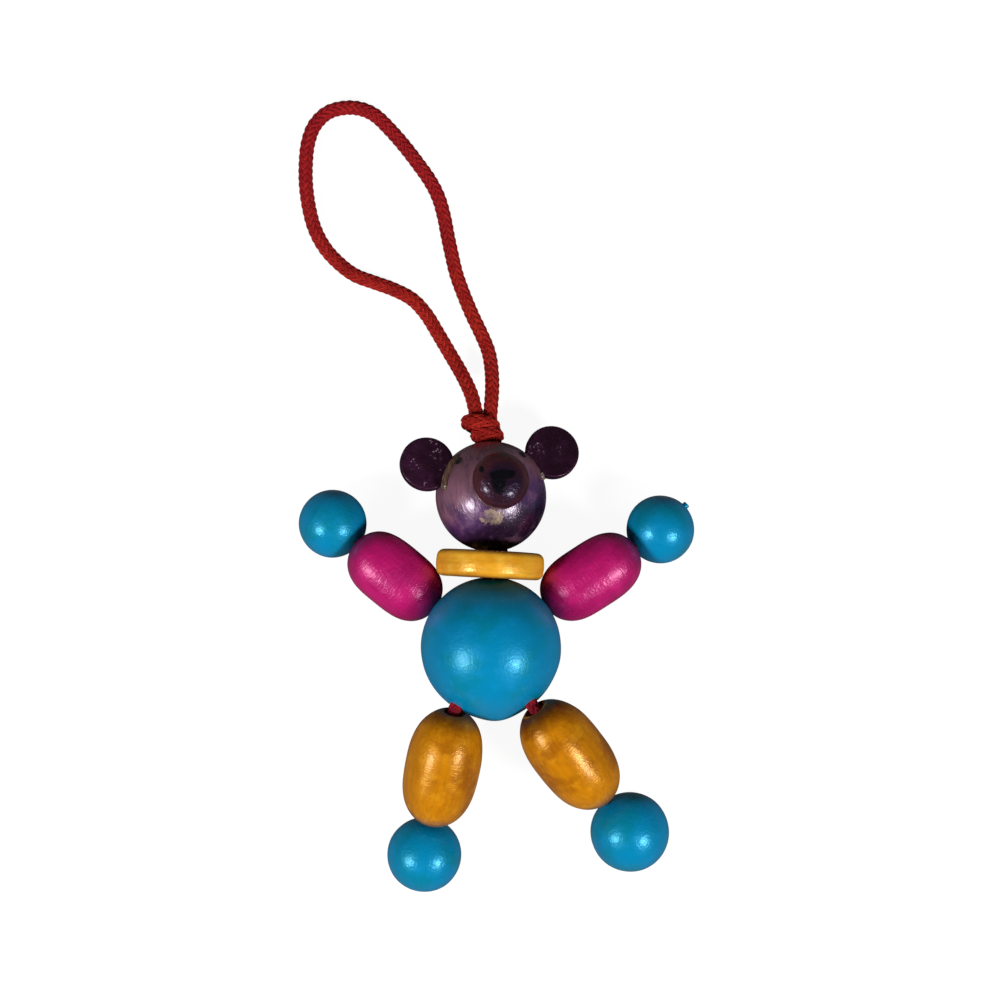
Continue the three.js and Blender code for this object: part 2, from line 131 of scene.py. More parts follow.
head_radius = 11.8 * mm
ear_centres = [sum(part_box(node), Vector()) / 2 for node in ("left_ear", "right_ear")]
head_up = Vector(joints["head_turn"]["axis"])
head_frame = bead_frame(pivot("head_turn"), head_up, (ear_centres[1] - ear_centres[0]).cross(head_up))
string_frame = bead_frame(pivot("head_turn"), head_up)
neck_frame = bead_frame(pivot("head_nod"), pivot("head_tilt") - pivot("head_nod"))
collar_frame = bead_frame(joints["collar_spin"]["pos_m"], joints["collar_spin"]["axis"])
torso_frame = Matrix.Translation(torso)
print("head faces", [round(v, 3) for v in head_frame.to_3x3().col[2]])


# %% [markdown]
# Geometry Nodes are wired by hand in the editor. In a script, long wiring is hard to read, so a
# Wire holds a node's output, and a sum that is written on wires adds its math nodes by itself. The
# shaders further down are wired in the same way.

# %% Wires and sums
class Wire:
    """The output of a node. Sums on it become nodes in its tree."""

    def __init__(self, socket):
        self.socket, self.tree = socket, socket.id_data

    def __add__(self, other):
        return calc("ADD", self, other)

    def __sub__(self, other):
        return calc("SUBTRACT", self, other)

    def __rsub__(self, other):
        return calc("SUBTRACT", other, self)

    def __mul__(self, other):
        return calc("MULTIPLY", self, other)

    def __truediv__(self, other):
        return calc("DIVIDE", self, other)

    def __rtruediv__(self, other):
        return calc("DIVIDE", other, self)


def plug(node, inputs):
    """Feeds a node's inputs, by name or number, from wires or with plain values and colours."""
    for key, value in dict(inputs).items():
        socket = node.inputs[key]
        if isinstance(value, Wire):
            node.id_data.links.new(value.socket, socket)
        elif socket.type == "VECTOR" and isinstance(value, (int, float)):
            socket.default_value = (value, value, value)
        elif socket.type == "RGBA" and isinstance(value, str):
            socket.default_value = linear(value)
        elif value is not None:
            socket.default_value = value


def add_node(tree, kind, inputs=(), **settings):
    node = tree.nodes.new(kind)
    for option, value in settings.items():
        setattr(node, option, value)
    plug(node, inputs)
    return node


def add(tree, kind, inputs=(), out=0, **settings):
    """Adds a node, sets its options, feeds its inputs, and returns the wire from one output."""
    return Wire(add_node(tree, kind, inputs, **settings).outputs[out])


def calc(operation, *values):
    """A math node, or a vector math node where one of the values is a vector."""
    wires = [value for value in values if isinstance(value, Wire)]
    on_vectors = any(wire.socket.type == "VECTOR" for wire in wires)
    kind = "ShaderNodeVectorMath" if on_vectors else "ShaderNodeMath"
    return add(
        wires[0].tree, kind, enumerate(values), "Value" if operation == "LENGTH" else 0, operation=operation
    )


def split(place):
    return [Wire(part) for part in add_node(place.tree, "ShaderNodeSeparateXYZ", {0: place}).outputs]


def combine(x, y, z):
    tree = next(part.tree for part in (x, y, z) if isinstance(part, Wire))
    return add(tree, "ShaderNodeCombineXYZ", {0: x, 1: y, 2: z})


print("a wire can add, subtract, multiply and divide")


# %% [markdown]
# Every tree here has named inputs and ends in the same three steps: smooth shading, real geometry
# in place of instances, and a material. What a tree grows is turned into a plain mesh at once, so
# nothing is left to be worked out later.

# %% Trees and what they grow
def new_tree(name, **usual):
    """A Geometry Nodes tree with named inputs and their usual values, and a wire from each."""
    kinds = {float: "Float", int: "Int", tuple: "Vector", type(None): "Material"}
    tree = bpy.data.node_groups.new(name, "GeometryNodeTree")
    for way in ("INPUT", "OUTPUT"):
        tree.interface.new_socket("Geometry", in_out=way, socket_type="NodeSocketGeometry")
    for key, value in usual.items():
        kind = "NodeSocket" + kinds[type(value)]
        socket = tree.interface.new_socket(key.replace("_", " "), in_out="INPUT", socket_type=kind)
        if value is not None:
            socket.default_value = value
    given = tree.nodes.new("NodeGroupInput").outputs
    return tree, {socket.name: Wire(socket) for socket in given if socket.name}


def finish_tree(geometry, material):
    """Ends a tree in plain, smooth mesh with its material."""
    tree = geometry.tree
    smooth = add(tree, "GeometryNodeSetShadeSmooth", {"Geometry": geometry})
    real = add(tree, "GeometryNodeRealizeInstances", {"Geometry": smooth})
    dressed = add(tree, "GeometryNodeSetMaterial", {"Geometry": real, "Material": material})
    add_node(tree, "NodeGroupOutput", {0: dressed})
    return tree


def plain_mesh(maker):
    """What an object's modifiers make, as a mesh."""
    return bpy.data.meshes.new_from_object(maker.evaluated_get(bpy.context.evaluated_depsgraph_get()))


def grow(name, tree, values, start=None):
    """Runs a tree on an empty mesh, or on a start curve, and returns a plain mesh object."""
    maker = put(name + "_maker", start or bpy.data.meshes.new(name + "_seed"))
    modifier = maker.modifiers.new("grow", "NODES")
    modifier.node_group = tree
    values = {key.replace("_", " "): value for key, value in values.items()}
    for socket in tree.interface.items_tree:
        if socket.in_out == "INPUT" and socket.name in values:
            modifier[socket.identifier] = values[socket.name]
    mesh = plain_mesh(maker)
    mesh.name = name
    bpy.data.objects.remove(maker)
    return put(name, mesh)


def seat(piece, body, *nodes, slot):
    """Lets a piece ride on a body and stand for its solids."""
    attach(piece, body)
    if nodes:
        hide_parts(*nodes)


print("trees can be grown")


# %% [markdown]
# The finishes come next, because a tree sets its material as it makes the mesh. All beads are
# turned wood under dyed lacquer. What shows that it is wood is small: patches where the dye took
# differently, faint streaks along the grain, and a fine roughness that breaks the highlights into
# grains. Each bead reads Object coordinates through a Mapping node that turns them into its own
# frame, so the grain runs along its bore.

# %% Colours and shader helpers
def linear(hex_colour):
    """A colour as a painter names it, in the linear values that shaders work with."""
    parts = [int(hex_colour[i : i + 2], 16) / 255 for i in (1, 3, 5)]
    return (*[v / 12.92 if v <= 0.04045 else ((v + 0.055) / 1.055) ** 2.4 for v in parts], 1.0)


def new_material(name, bead=None):
    """A material, its shader, and Object coordinates in a bead's own frame, in metres."""
    material = bpy.data.materials.new(name)
    material.use_nodes = True
    tree = material.node_tree
    place = add(tree, "ShaderNodeTexCoord", out="Object")
    if bead:
        inputs = {"Vector": place, "Location": bead.translation, "Rotation": bead.to_euler()}
        place = add(tree, "ShaderNodeMapping", inputs, vector_type="TEXTURE")
    return material, tree.nodes["Principled BSDF"], place


def noise(place, size, detail=2.0, rough=0.5, stretch=(1, 1, 1), shift=0.0):
    """Noise with features of about size, in metres, longer on an axis where stretch is under 1."""
    moved = place * (Vector(stretch) / size) + (shift, shift * 1.7, -shift)
    inputs = {"Vector": moved, "Scale": 1.0, "Detail": detail, "Roughness": rough}
    return add(place.tree, "ShaderNodeTexNoise", inputs)


def ramp(value, low, high, to_low=0.0, to_high=1.0):
    """A smooth step of a value between two limits."""
    inputs = {0: value, 1: low, 2: high, 3: to_low, 4: to_high}
    return add(value.tree, "ShaderNodeMapRange", inputs, interpolation_type="SMOOTHSTEP")


def blend(factor, first, second):
    return add(factor.tree, "ShaderNodeMix", {0: factor, 6: first, 7: second}, 2, data_type="RGBA")


def paint(colour, shade, value, *limits):
    """Lays a shade over a colour where a value is high, between the limits of a ramp."""
    return blend(ramp(value, *limits), colour, shade)


def bump(height, depth, strength=1.0):
    """Bump of a height from 0 to 1 that stands depth metres tall."""
    return add(height.tree, "ShaderNodeBump", {"Height": height, "Distance": depth, "Strength": strength})


def spot(place, centre, size, soft):
    """1 inside an oval spot, 0 outside, with a soft edge. Centre and size are in millimetres."""
    scaled = (place - Vector(centre) * mm) * [1 / (s * mm) for s in size]
    return ramp(calc("LENGTH", scaled), 1 - soft, 1 + soft, 1.0, 0.0)


print("shader helpers are ready")


# %% [markdown]
# Lacquered wood. The dye is under the lacquer and tints what shines through it, so the broad
# highlight has the bead's own colour, which the specular tint gives. A thin clear coat adds the
# small white glints. The skin has an orange peel of 0.65 mm cells, ridges along the grain and, on
# long beads, faint rings from the lathe tool, which draw a highlight out along the bead. All are
# wide enough to show, and only steep enough to break a highlight into grains.

# %% Lacquered wood
def lacquer(name, bead, shades, glint, end_shade=None, half_length=1.0, seed=0.0, **look):
    """Shades are the main colour, the darker patches and the lighter ones."""
    look = {
        "gloss": 0.36, "coat": 0.08, "shine": 0.7, "blots": 0.4, "ridges": 0.1, "rings": 0.0,
        "relief": 0.05, "way": (1, 0.09, 1), "mouth_ring": 0.0, "crown": None, **look,
    }
    material, shader, place = new_material(name, bead)
    main, dark, light = shades
    x, y, z = split(place)
    patches = noise(place, 8 * mm, 3.0, 0.55, shift=seed)
    blots = noise(place, 3 * mm, 3.0, 0.6, shift=seed + 7)
    grain = noise(place, 0.7 * mm, stretch=look["way"], shift=seed)
    peel = noise(place, 0.65 * mm, shift=seed + 3)
    rings = noise(place, 0.5 * mm, 2.0, 0.6, (0.3, 1, 0.3), seed + 5)
    colour = blend(ramp(patches, 0.45, 0.66), main, dark)
    colour = paint(colour, light, blots, 0.5, 0.72, 0.0, look["blots"])
    uneven = patches * 0.3
    # A crown paints the top of a bead darker, as painted shade
    if look["crown"]:
        colour = paint(colour, look["crown"], y / half_length + uneven, 0.5, 1.15)
    # End shade paints a bead's ends darker, as shade where it meets its neighbours
    if end_shade:
        colour = paint(colour, end_shade, calc("ABSOLUTE", y) / half_length + uneven, 0.78, 1.16)
    # A mouth ring keeps a thin circle round the bore in the main colour, over the painted end shade: a
    # painted light line where a real turned step catches the light
    if look["mouth_ring"]:
        off_ring = calc("ABSOLUTE", calc("LENGTH", combine(x, 0.0, z)) - look["mouth_ring"])
        colour = paint(colour, main, off_ring, 0.12 * mm, 0.4 * mm, 0.45, 0.0)
    streak = ramp(grain, 0.35, 0.7, 1.0, 1.0 - look["ridges"])
    skin = grain * (2 * look["ridges"]) + peel + rings * look["rings"]
    plug(shader, {
        "Base Color": add(place.tree, "ShaderNodeHueSaturation", {"Color": colour, "Value": streak}),
        "Roughness": ramp(blots, 0.3, 0.7, look["gloss"], look["gloss"] + 0.1),
        "Specular Tint": glint, "Specular IOR Level": look["shine"], "Coat Weight": look["coat"],
        "Coat Roughness": 0.25, "Normal": bump(skin, look["relief"] * mm),
    })
    return material


print("lacquer can be mixed")


# %% [markdown]
# Four dyes, each with a main colour, a darker and a lighter one for the patches, and a pale tint
# for the glints. Balls are smoother than barrels, which show rings and ridges. The ends of barrels
# and collar are painted darker, as shade where they meet the beads next to them. Every bead gets
# its own seed, so no two have the same patches.

# %% Lacquers of the beads
blue = ("#0084b4", "#007f9e", "#0a8cc8")
pink = ("#bd0c68", "#ac0a60", "#cc1478")
amber = ("#c87c06", "#a86004", "#dc9414")
honey = ("#fab42c", "#e89c1c", "#ffcc50")
blue_glint, pink_glint, amber_glint, honey_glint = "#60d8ff", "#ffa8d8", "#ffc860", "#ffe090"
arm_half, leg_half, collar_half = 11.9 * mm, 14.2 * mm, 3.1 * mm
# The right leg has a turned step round its mouth, painted as a light ring
bore_ring = {"left": 0.0, "right": 3.0 * mm}
torso_look = {"gloss": 0.3, "relief": 0.06, "ridges": 0.03, "shine": 0.8}
ball_look = {"gloss": 0.28, "relief": 0.08, "ridges": 0.03, "shine": 1.0}
arm_look = {"gloss": 0.3, "relief": 0.08, "ridges": 0.12, "shine": 0.9, "rings": 1.3, "coat": 0.12}
leg_look = {"gloss": 0.26, "relief": 0.07, "ridges": 0.16, "rings": 1.0, "coat": 0.15, "blots": 0.6}
collar_look = {"gloss": 0.28, "relief": 0.07, "ridges": 0.16, "shine": 1.0, "coat": 0.15}
# The torso's top is painted darker (crown) as shade under the collar
torso_finish = lacquer(
    "blue_torso", torso_frame, blue, blue_glint, None, torso_radius, 2.0, crown="#006c90", **torso_look
)
hand_finish, foot_finish, arm_finish, leg_finish = {}, {}, {}, {}
for number, side in enumerate(sides):
    for title, frames, finishes, seed in (
        ("hand", hand_frame, hand_finish, 11.0), ("foot", foot_frame, foot_finish, 21.0),
    ):
        finishes[side] = lacquer(
            f"blue_{title}_{side}", frames[side], blue, blue_glint, seed=seed + number, **ball_look
        )
    # The dark end colours of arms and legs are painted shade where they meet their neighbours
    arm_finish[side] = lacquer(
        f"pink_arm_{side}", arm_frame[side], pink, pink_glint, "#700848", arm_half, 31.0 + number, **arm_look
    )
    leg_finish[side] = lacquer(
        f"amber_leg_{side}", leg_frame[side], amber, amber_glint, "#4c1a00", leg_half, 41.0 + number,
        mouth_ring=bore_ring[side], **leg_look,
    )
# The collar's dark rims are painted shade where it meets head and torso
collar_finish = lacquer(
    "honey_collar", collar_frame, honey, honey_glint, "#9c5c08", collar_half, 51.0,
    way=(0.1, 1, 0.1), **collar_look,
)
paired = (hand_finish, foot_finish, arm_finish, leg_finish)
print("lacquers:", 2 + sum(len(finishes) for finishes in paired))


# %% [markdown]
# The head's dye is thin and brushed on: mauve and brown where the wood shows through, violet lower
# down, with strokes that run down the face. Eyes are dots of black paint, and under the snout the
# lacquer has come off in a pale patch. Each spot is an oval around a point in the head's own
# frame, so no image is needed and it can't slide when the head turns.

# %% Face finish
def face_finish():
    material, shader, place = new_material("violet_head", head_frame)
    x, y = split(place)[:2]
    strokes = noise(place, 1.3 * mm, 3.0, 0.6, (1, 0.16, 1))
    clouds = noise(place, 5 * mm, 3.0, 0.6, shift=4.0)
    peel = noise(place, 0.6 * mm, stretch=(1, 0.3, 1))
    height = clouds * (9 * mm) + y - 4.5 * mm - x * 0.35
    colour = blend(ramp(height, -10 * mm, -2.5 * mm), "#1a0a20", "#4a285c")
    colour = paint(colour, "#845868", height, -5 * mm, 2 * mm)
    colour = paint(colour, "#6a4450", height, 3 * mm, 9 * mm)
    colour = paint(colour, "#351a38", strokes, 0.45, 0.68, 0.0, 0.5)
    colour = paint(colour, "#8a6078", clouds, 0.52, 0.7, 0.0, 0.35)
    edge = noise(place, 1.5 * mm, 4.0, 0.65, shift=9.0)
    ragged = place + combine(edge, strokes, 0.0) * (4.4 * mm, 2.8 * mm, 0)
    bare = spot(ragged, (0.4, -5.4, 9.3), (2.4, 1.6, 2.6), 0.07)
    colour = blend(bare * ramp(edge, 0.4, 0.62, 0.25, 0.85), colour, "#a08a72")
    eyes = [spot(place, at, (0.95, 1.05, 1.2), 0.12) for at in ((-7.21, 6.63, 6.59), (6.45, 6.9, 7.32))]
    plug(shader, {
        "Base Color": blend(calc("MAXIMUM", *eyes), colour, "#040305"),
        "Roughness": ramp(clouds, 0.3, 0.7, 0.26, 0.4),
        "Specular Tint": "#f0d8f0", "Specular IOR Level": 0.9, "Coat Weight": 0.3,
        "Coat Roughness": 0.18, "Normal": bump(strokes * 0.9 + peel, 0.11 * mm),
    })
    return material


head_finish = face_finish()
print("the face has", len(head_finish.node_tree.nodes), "nodes")


# %% [markdown]
# The snout is darker, reddish brown towards its rim, most of all at the top, and painted dark in its
# middle as a reflection, with the nose painted on it as a bar over a wedge and a small dab beside
# it. The ears' grain shows small pale specks, painted glints. The glue has dried to a dull skin.

# %% Snout, ears and glue
def snout_finish():
    material, shader, place = new_material("dark_snout", head_frame)
    x, y = split(place)[:2]
    swirl = noise(place, 2.6 * mm, 3.0, 0.6, shift=5.0)
    dents = noise(place, 1.1 * mm, 2.0, 0.6, shift=2.0)
    # The middle is painted dark as a reflection; the rim, most at the top, shows reddish brown
    outer = calc("LENGTH", combine(x, y, 0.0)) + y * 0.3
    colour = blend(ramp(swirl, 0.4, 0.65), "#2c1420", "#1c0c24")
    colour = paint(colour, "#4a2024", swirl * (3 * mm) + outer, 4.6 * mm, 7 * mm, 0.0, 0.9)
    wavy = place + combine(dents, swirl, 0.0) * (1.2 * mm, 1.2 * mm, 0)
    bar = spot(wavy, (0.4, 0.9, 17), (2.9, 1.15, 4), 0.15)
    wedge = spot(wavy, (-0.6, -0.9, 17), (1.5, 2.4, 4), 0.2)
    dab = spot(place, (-4.16, 1.91, 14.81), (0.6, 1.0, 1.6), 0.2)
    black = calc("MAXIMUM", calc("MAXIMUM", bar, wedge), dab)
    plug(shader, {
        "Base Color": blend(black, colour, "#030306"),
        "Roughness": ramp(swirl, 0.35, 0.7, 0.26, 0.4),
        "Specular Tint": "#b0a0c8", "Coat Weight": 0.25, "Coat Roughness": 0.15,
        "Normal": bump(swirl * 1.5 + dents, 0.22 * mm),
    })
    return material


def ear_finish(name, seed):
    material, shader, place = new_material(name, head_frame)
    grit = noise(place, 0.55 * mm, 3.0, 0.65, shift=seed)
    clouds = noise(place, 3.2 * mm, shift=seed + 1)
    # Small pale specks in the grain are painted glints
    speck_glints = ramp(grit, 0.6, 0.68) * ramp(clouds, 0.54, 0.64)
    plug(shader, {
        "Base Color": blend(speck_glints, blend(ramp(clouds, 0.35, 0.7), "#200c1a", "#32142c"), "#b8a8b0"),
        "Roughness": ramp(grit, 0.3, 0.7, 0.3, 0.55),
        "Specular Tint": "#d080b0", "Coat Weight": 0.12, "Coat Roughness": 0.15,
        "Normal": bump(grit, 0.16 * mm),
    })
    return material


def glue_finish(name, dark, light):
    material, shader, place = new_material(name, head_frame)
    clouds = noise(place, 1.2 * mm, 3.0, 0.6, (1, 0.3, 1))
    plug(shader, {
        "Base Color": blend(ramp(clouds, 0.42, 0.62), dark, light), "Roughness": 0.35,
        "Coat Weight": 0.3, "Normal": bump(clouds, 0.12 * mm),
    })
    return material


nose_finish = snout_finish()
ear_finishes = [ear_finish("dark_ear_left", 1.0), ear_finish("dark_ear_right", 6.0)]
olive_glue = glue_finish("olive_glue", "#4e3830", "#6e5240")
pale_glue = glue_finish("pale_glue", "#6e5c4c", "#a89a8a")
print("snout, ear and glue finishes are ready")


# %% [markdown]
# Cotton. The weave itself is real geometry, made by the braid tree below, which writes three
# attributes on it: how far along the cord a point is, where it is round its strand, and a random
# number that each strand keeps. The shader makes the twisted yarns of each strand from the first
# two, with painted shade in the grooves between them, and a slightly different red for each strand
# from the third. At neck, wrists and ankles, where the cord runs between beads, it is painted dark
# as shade, and at the hips it is less faded.

# %% Cotton finish
def cotton_finish(name, dark, main, light):
    material, shader, place = new_material(name)
    run, around, carrier = [
        add(place.tree, "ShaderNodeAttribute", out="Fac", attribute_name=title)
        for title in ("run", "around", "carrier")
    ]
    fuzz = noise(place, 0.3 * mm, 3.0, 0.7)
    wear = noise(place, 5 * mm)
    # The grooves between the twisted yarns are painted darker, as shade
    groove = ramp(calc("SINE", (around * 5.0 + run / (1.3 * mm)) * full_turn), -1.0, 0.4)
    colour = blend(groove, dark, main)
    colour = paint(colour, light, carrier * 0.4 + fuzz * 0.9, 0.35, 0.95, 0.0, 0.7)
    colour = paint(colour, dark, wear, 0.5, 0.75, 0.0, 0.3)
    plug(shader, {
        "Base Color": paint(colour, "#a01028", split(place)[1], 0.07, 0.11, 0.0, 0.45),
        "Roughness": 0.9, "Specular IOR Level": 0.15, "Sheen Weight": 0.45, "Sheen Roughness": 0.4,
        "Sheen Tint": "#e84040", "Normal": bump(groove + fuzz * 0.8, 0.08 * mm, 0.9),
    })
    return material


cotton = cotton_finish("red_cotton", "#6e0c10", "#ac1a18", "#c43020")
hip_cotton = cotton_finish("crimson_cotton", "#4c0614", "#941226", "#b42638")
# A dark cotton: painted shade for the cord where it runs between beads
shaded_cotton = cotton_finish("shaded_cotton", "#1c0406", "#380a0c", "#4c1012")
print("cottons are ready")


# %% [markdown]
# The cord is a tubular braid: eight strands wind one way and eight the other, each passing over
# two and under two. It could be painted on a plain tube with bump, but its outline would stay
# smooth, and the outline is what the eye reads on a cord this thick. A braid follows a rule along
# a path, so Geometry Nodes make it: every strand is a copy of the path, pushed out to its place
# round the cord, with a height that rises where it crosses over and sinks where it dives under.

# %% Braid tree
def capture(geometry, **values):
    """Keeps values as they are now, before the geometry is copied or moved."""
    node = geometry.tree.nodes.new("GeometryNodeCaptureAttribute")
    for title, value in values.items():
        node.capture_items.new("VECTOR" if value.socket.type == "VECTOR" else "FLOAT", title)
    plug(node, {"Geometry": geometry, **values})
    return [Wire(node.outputs[title]) for title in ("Geometry", *values)]


def store(geometry, title, value):
    inputs = {"Geometry": geometry, "Name": title, "Value": value}
    return add(geometry.tree, "GeometryNodeStoreNamedAttribute", inputs)


def tube(path, section):
    inputs = {"Curve": path, "Profile Curve": section, "Fill Caps": True}
    return add(path.tree, "GeometryNodeCurveToMesh", inputs)


# In strand thicknesses: how far a strand rises and dives, and how deep strands and core lie
weave_height, strand_depth, core_depth = 0.4, 0.85, 1.2


def braid_tree():
    tree, given = new_tree(
        "braid", Radius=1.55 * mm, Strands_each_way=8, Turn_length=12 * mm, Strand_width=0.85 * mm,
        Strand_thickness=0.42 * mm, Step=0.32 * mm, Start=0.0, Up=(0.0, 0.0, 1.0), Material=None,
    )
    each, thickness = given["Strands each way"], given["Strand thickness"]
    inputs = {"Curve": given["Geometry"], "Length": given["Step"]}
    path = add(tree, "GeometryNodeResampleCurve", inputs, mode="LENGTH")
    tangent = add(tree, "GeometryNodeInputTangent")
    run = add(tree, "GeometryNodeSplineParameter", out="Length")
    path, tangent, run = capture(path, Tangent=tangent, Run=run)
    copies = add_node(
        tree, "GeometryNodeDuplicateElements", {"Geometry": path, "Amount": each * 2.0}, domain="SPLINE"
    )
    copies, index = Wire(copies.outputs["Geometry"]), Wire(copies.outputs["Duplicate Index"])

    # Which way a strand winds, and where it starts round the cord
    way = calc("MODULO", index, 2.0) * -2.0 + 1.0
    number = calc("FLOOR", index / 2.0)
    slice_angle = full_turn / each
    first = number * slice_angle
    total_run = run + given["Start"]
    turned_by = total_run / given["Turn length"] * full_turn
    angle = turned_by * way + first

    # Over two and under two: the crossing count says where a strand is in that rhythm
    crossing = (turned_by * (way * 2.0) + first) / slice_angle + number
    rhythm = calc("COSINE", (crossing - 0.5) * (math.pi / 2))
    height = rhythm * (way * thickness) * weave_height + (thickness * -strand_depth + given["Radius"])

    side = calc("NORMALIZE", calc("CROSS_PRODUCT", tangent, given["Up"]))
    rise = calc("CROSS_PRODUCT", tangent, side)
    outward = side * calc("COSINE", angle) + rise * calc("SINE", angle)
    copies, outward = capture(copies, Outward=outward)
    moved = add(tree, "GeometryNodeSetPosition", {"Geometry": copies, "Offset": outward * height})
    faced = add(tree, "GeometryNodeSetCurveNormal", {"Curve": moved, "Normal": outward}, mode="FREE")
    luck = add(tree, "FunctionNodeRandomValue", {"ID": index, "Seed": 3}, 1, data_type="FLOAT")
    marked = store(store(faced, "run", total_run), "carrier", luck)
    ring = add(tree, "GeometryNodeCurvePrimitiveCircle", {"Resolution": 7, "Radius": 0.5})
    ring = store(ring, "around", add(tree, "GeometryNodeSplineParameter", out="Factor"))
    flat = combine(thickness, given["Strand width"], 1.0)
    strands = tube(marked, add(tree, "GeometryNodeTransform", {"Geometry": ring, "Scale": flat}))

    # A plain core closes the view through the braid
    inner = thickness * -core_depth + given["Radius"]
    hole = add(tree, "GeometryNodeCurvePrimitiveCircle", {"Resolution": 10, "Radius": inner})
    both = add_node(tree, "GeometryNodeJoinGeometry")
    for part in (strands, tube(path, hole)):
        plug(both, {0: part})
    return finish_tree(Wire(both.outputs[0]), given["Material"])


braid = braid_tree()
print("braid tree:", len(braid.nodes), "nodes")


# %% [markdown]
# Routes are lists of points that are smoothed into one line. A stretch is the part of a line
# between two lengths. Cutting one long line into stretches, instead of making each apart, keeps
# the braid running on where two stretches meet.

# %% Routes
def smooth_line(points, per_span=10):
    """A Catmull-Rom line through the points."""
    points = [Vector(p) for p in points]
    ends = [2 * points[0] - points[1], *points, 2 * points[-1] - points[-2]]
    line = []
    for a, b, c, d in zip(ends, ends[1:], ends[2:], ends[3:]):
        for t in (k / per_span for k in range(per_span)):
            bend, twist = 2 * a - 5 * b + 4 * c - d, 3 * b - 3 * c + d - a
            line.append(0.5 * (2 * b + (c - a) * t + bend * t**2 + twist * t**3))
    return [*line, points[-1]]


def lengths(line):
    run = [0.0]
    for a, b in zip(line, line[1:]):
        run.append(run[-1] + (b - a).length)
    return run


def point_at(line, length):
    """The point of a line at a length along it."""
    run = lengths(line)
    for k in range(1, len(run)):
        if run[k] >= length:
            return line[k - 1].lerp(line[k], (length - run[k - 1]) / max(run[k] - run[k - 1], 1e-12))
    return line[-1]


def stretch(line, start, end):
    """The points of a line between two lengths along it."""
    inside = [p for p, r in zip(line, lengths(line)) if start + 1e-6 < r < end - 1e-6]
    return [point_at(line, start), *inside, point_at(line, end)]


def length_at(line, point):
    """How far along a line it passes nearest to a point."""
    return min(zip(lengths(line), line), key=lambda pair: (pair[1] - Vector(point)).length)[0]


def bend_range(line, middle, reach):
    """Two points on a line, before and after the place where it bends."""
    return [point_at(line, middle - reach), point_at(line, middle + reach)]


def braided(name, line, start=0.0, **sizes):
    curve = bpy.data.curves.new(name + "_path", "CURVE")
    curve.dimensions = "3D"
    spline = curve.splines.new("POLY")
    spline.points.add(len(line) - 1)
    for point, place in zip(spline.points, line):
        point.co = (*place, 1.0)
    return grow(name, braid, {"Start": start, "Material": cotton, **sizes}, curve)


print("routes are ready")


# %% [markdown]
# The hanging loop lies on the table above the head: up from the knot, round to the left and back.
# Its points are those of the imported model's loop, in millimetres from the torso's centre and the
# table. It runs a little way into the knot at both ends, as the real cord does.

# %% Hanging loop
loop_route = [
    (-3.4, 51, 7.3), (-4.4, 54.8, 6), (-6.4, 59.1, 3.9), (-9.1, 63.8, 2.2), (-11.8, 68.4, 1.6),
    (-14.4, 72.6, 1.6), (-17.5, 75.9, 1.6), (-21.7, 78.1, 1.6), (-25.9, 79.6, 1.6), (-30.1, 81.2, 1.6),
    (-33.6, 83.8, 1.6), (-36.7, 87.2, 1.6), (-38.9, 91.3, 1.6), (-40.2, 96, 1.6), (-40.9, 101.3, 1.6),
    (-40.9, 106.4, 1.6), (-40.4, 110.5, 1.6), (-39, 114.2, 1.6), (-36.2, 117, 1.6), (-32.5, 118.1, 1.6),
    (-28.9, 117.9, 1.6), (-25.7, 116.5, 1.6), (-22.8, 113.8, 1.6), (-19.5, 110.1, 1.6),
    (-16.4, 106.1, 1.6), (-13.5, 102, 1.6), (-11.6, 98.2, 1.6), (-10.4, 94, 1.6), (-9.6, 89.8, 1.6),
    (-8.7, 85.6, 1.6), (-7.7, 81.4, 1.6), (-6.2, 77.2, 1.6), (-4.3, 72.6, 1.6), (-2.3, 68.4, 1.7),
    (-0.6, 64.2, 2.5), (0.1, 59.9, 4), (0.2, 55.6, 6), (-0.1, 51.4, 7.3),
]
cord_radius, loop_radius, into_knot = 1.55 * mm, 1.62 * mm, 2 * mm
loop_line = smooth_line([Vector(p) * mm + Vector((torso.x, torso.y, 0)) for p in loop_route], 8)
first_way = (loop_line[0] - loop_line[1]).normalized() * into_knot
last_way = (loop_line[-1] - loop_line[-2]).normalized() * into_knot
loop_line = [loop_line[0] + first_way, *loop_line, loop_line[-1] + last_way]
loop_length = lengths(loop_line)[-1]
loop = braided("hanging_loop_braid", loop_line, Radius=loop_radius)
seat(loop, "loop", "hanging_loop", slot="red_cotton")
print("loop:", round(loop_length / mm, 1), "mm,", len(loop.data.polygons), "faces")


# %% [markdown]
# The knot is the doubled cord tied once round itself on top of the head. From the front it shows
# two turns that lean down to the right, so its line is two turns of an oval spiral that changes
# from the upper turn to the lower one at the back, where nobody sees it.

# %% Knot
# Each turn's centre as x, y and z, its reach across and in depth, and how far it leans, in mm
upper_turn = Vector((-0.4, 4.5, 0.0, 2.65, 2.2, -0.75))
lower_turn = Vector((0.75, 1.75, 0.2, 2.05, 1.9, -0.35))
change_at, change_over, steps_a_turn = 0.86, 0.28, 14


def knot_line():
    points = [Vector((-0.3, 4.6, 0))]
    for turn in (k / steps_a_turn for k in range(2 * steps_a_turn + 1)):
        angle = math.radians(-100 + 360 * turn)
        share = min(max((turn - change_at) / change_over, 0), 1)
        x, y, z, wide, deep, lean = upper_turn.lerp(lower_turn, share * share * (3 - 2 * share))
        across = math.cos(angle)
        points.append(Vector((x + wide * across, y + lean * across, z + deep * math.sin(angle))))
    points.append(Vector((0.8, 1.6, 0)))
    return smooth_line([string_frame @ (p * mm + Vector((0, head_radius, 0))) for p in points], 6)


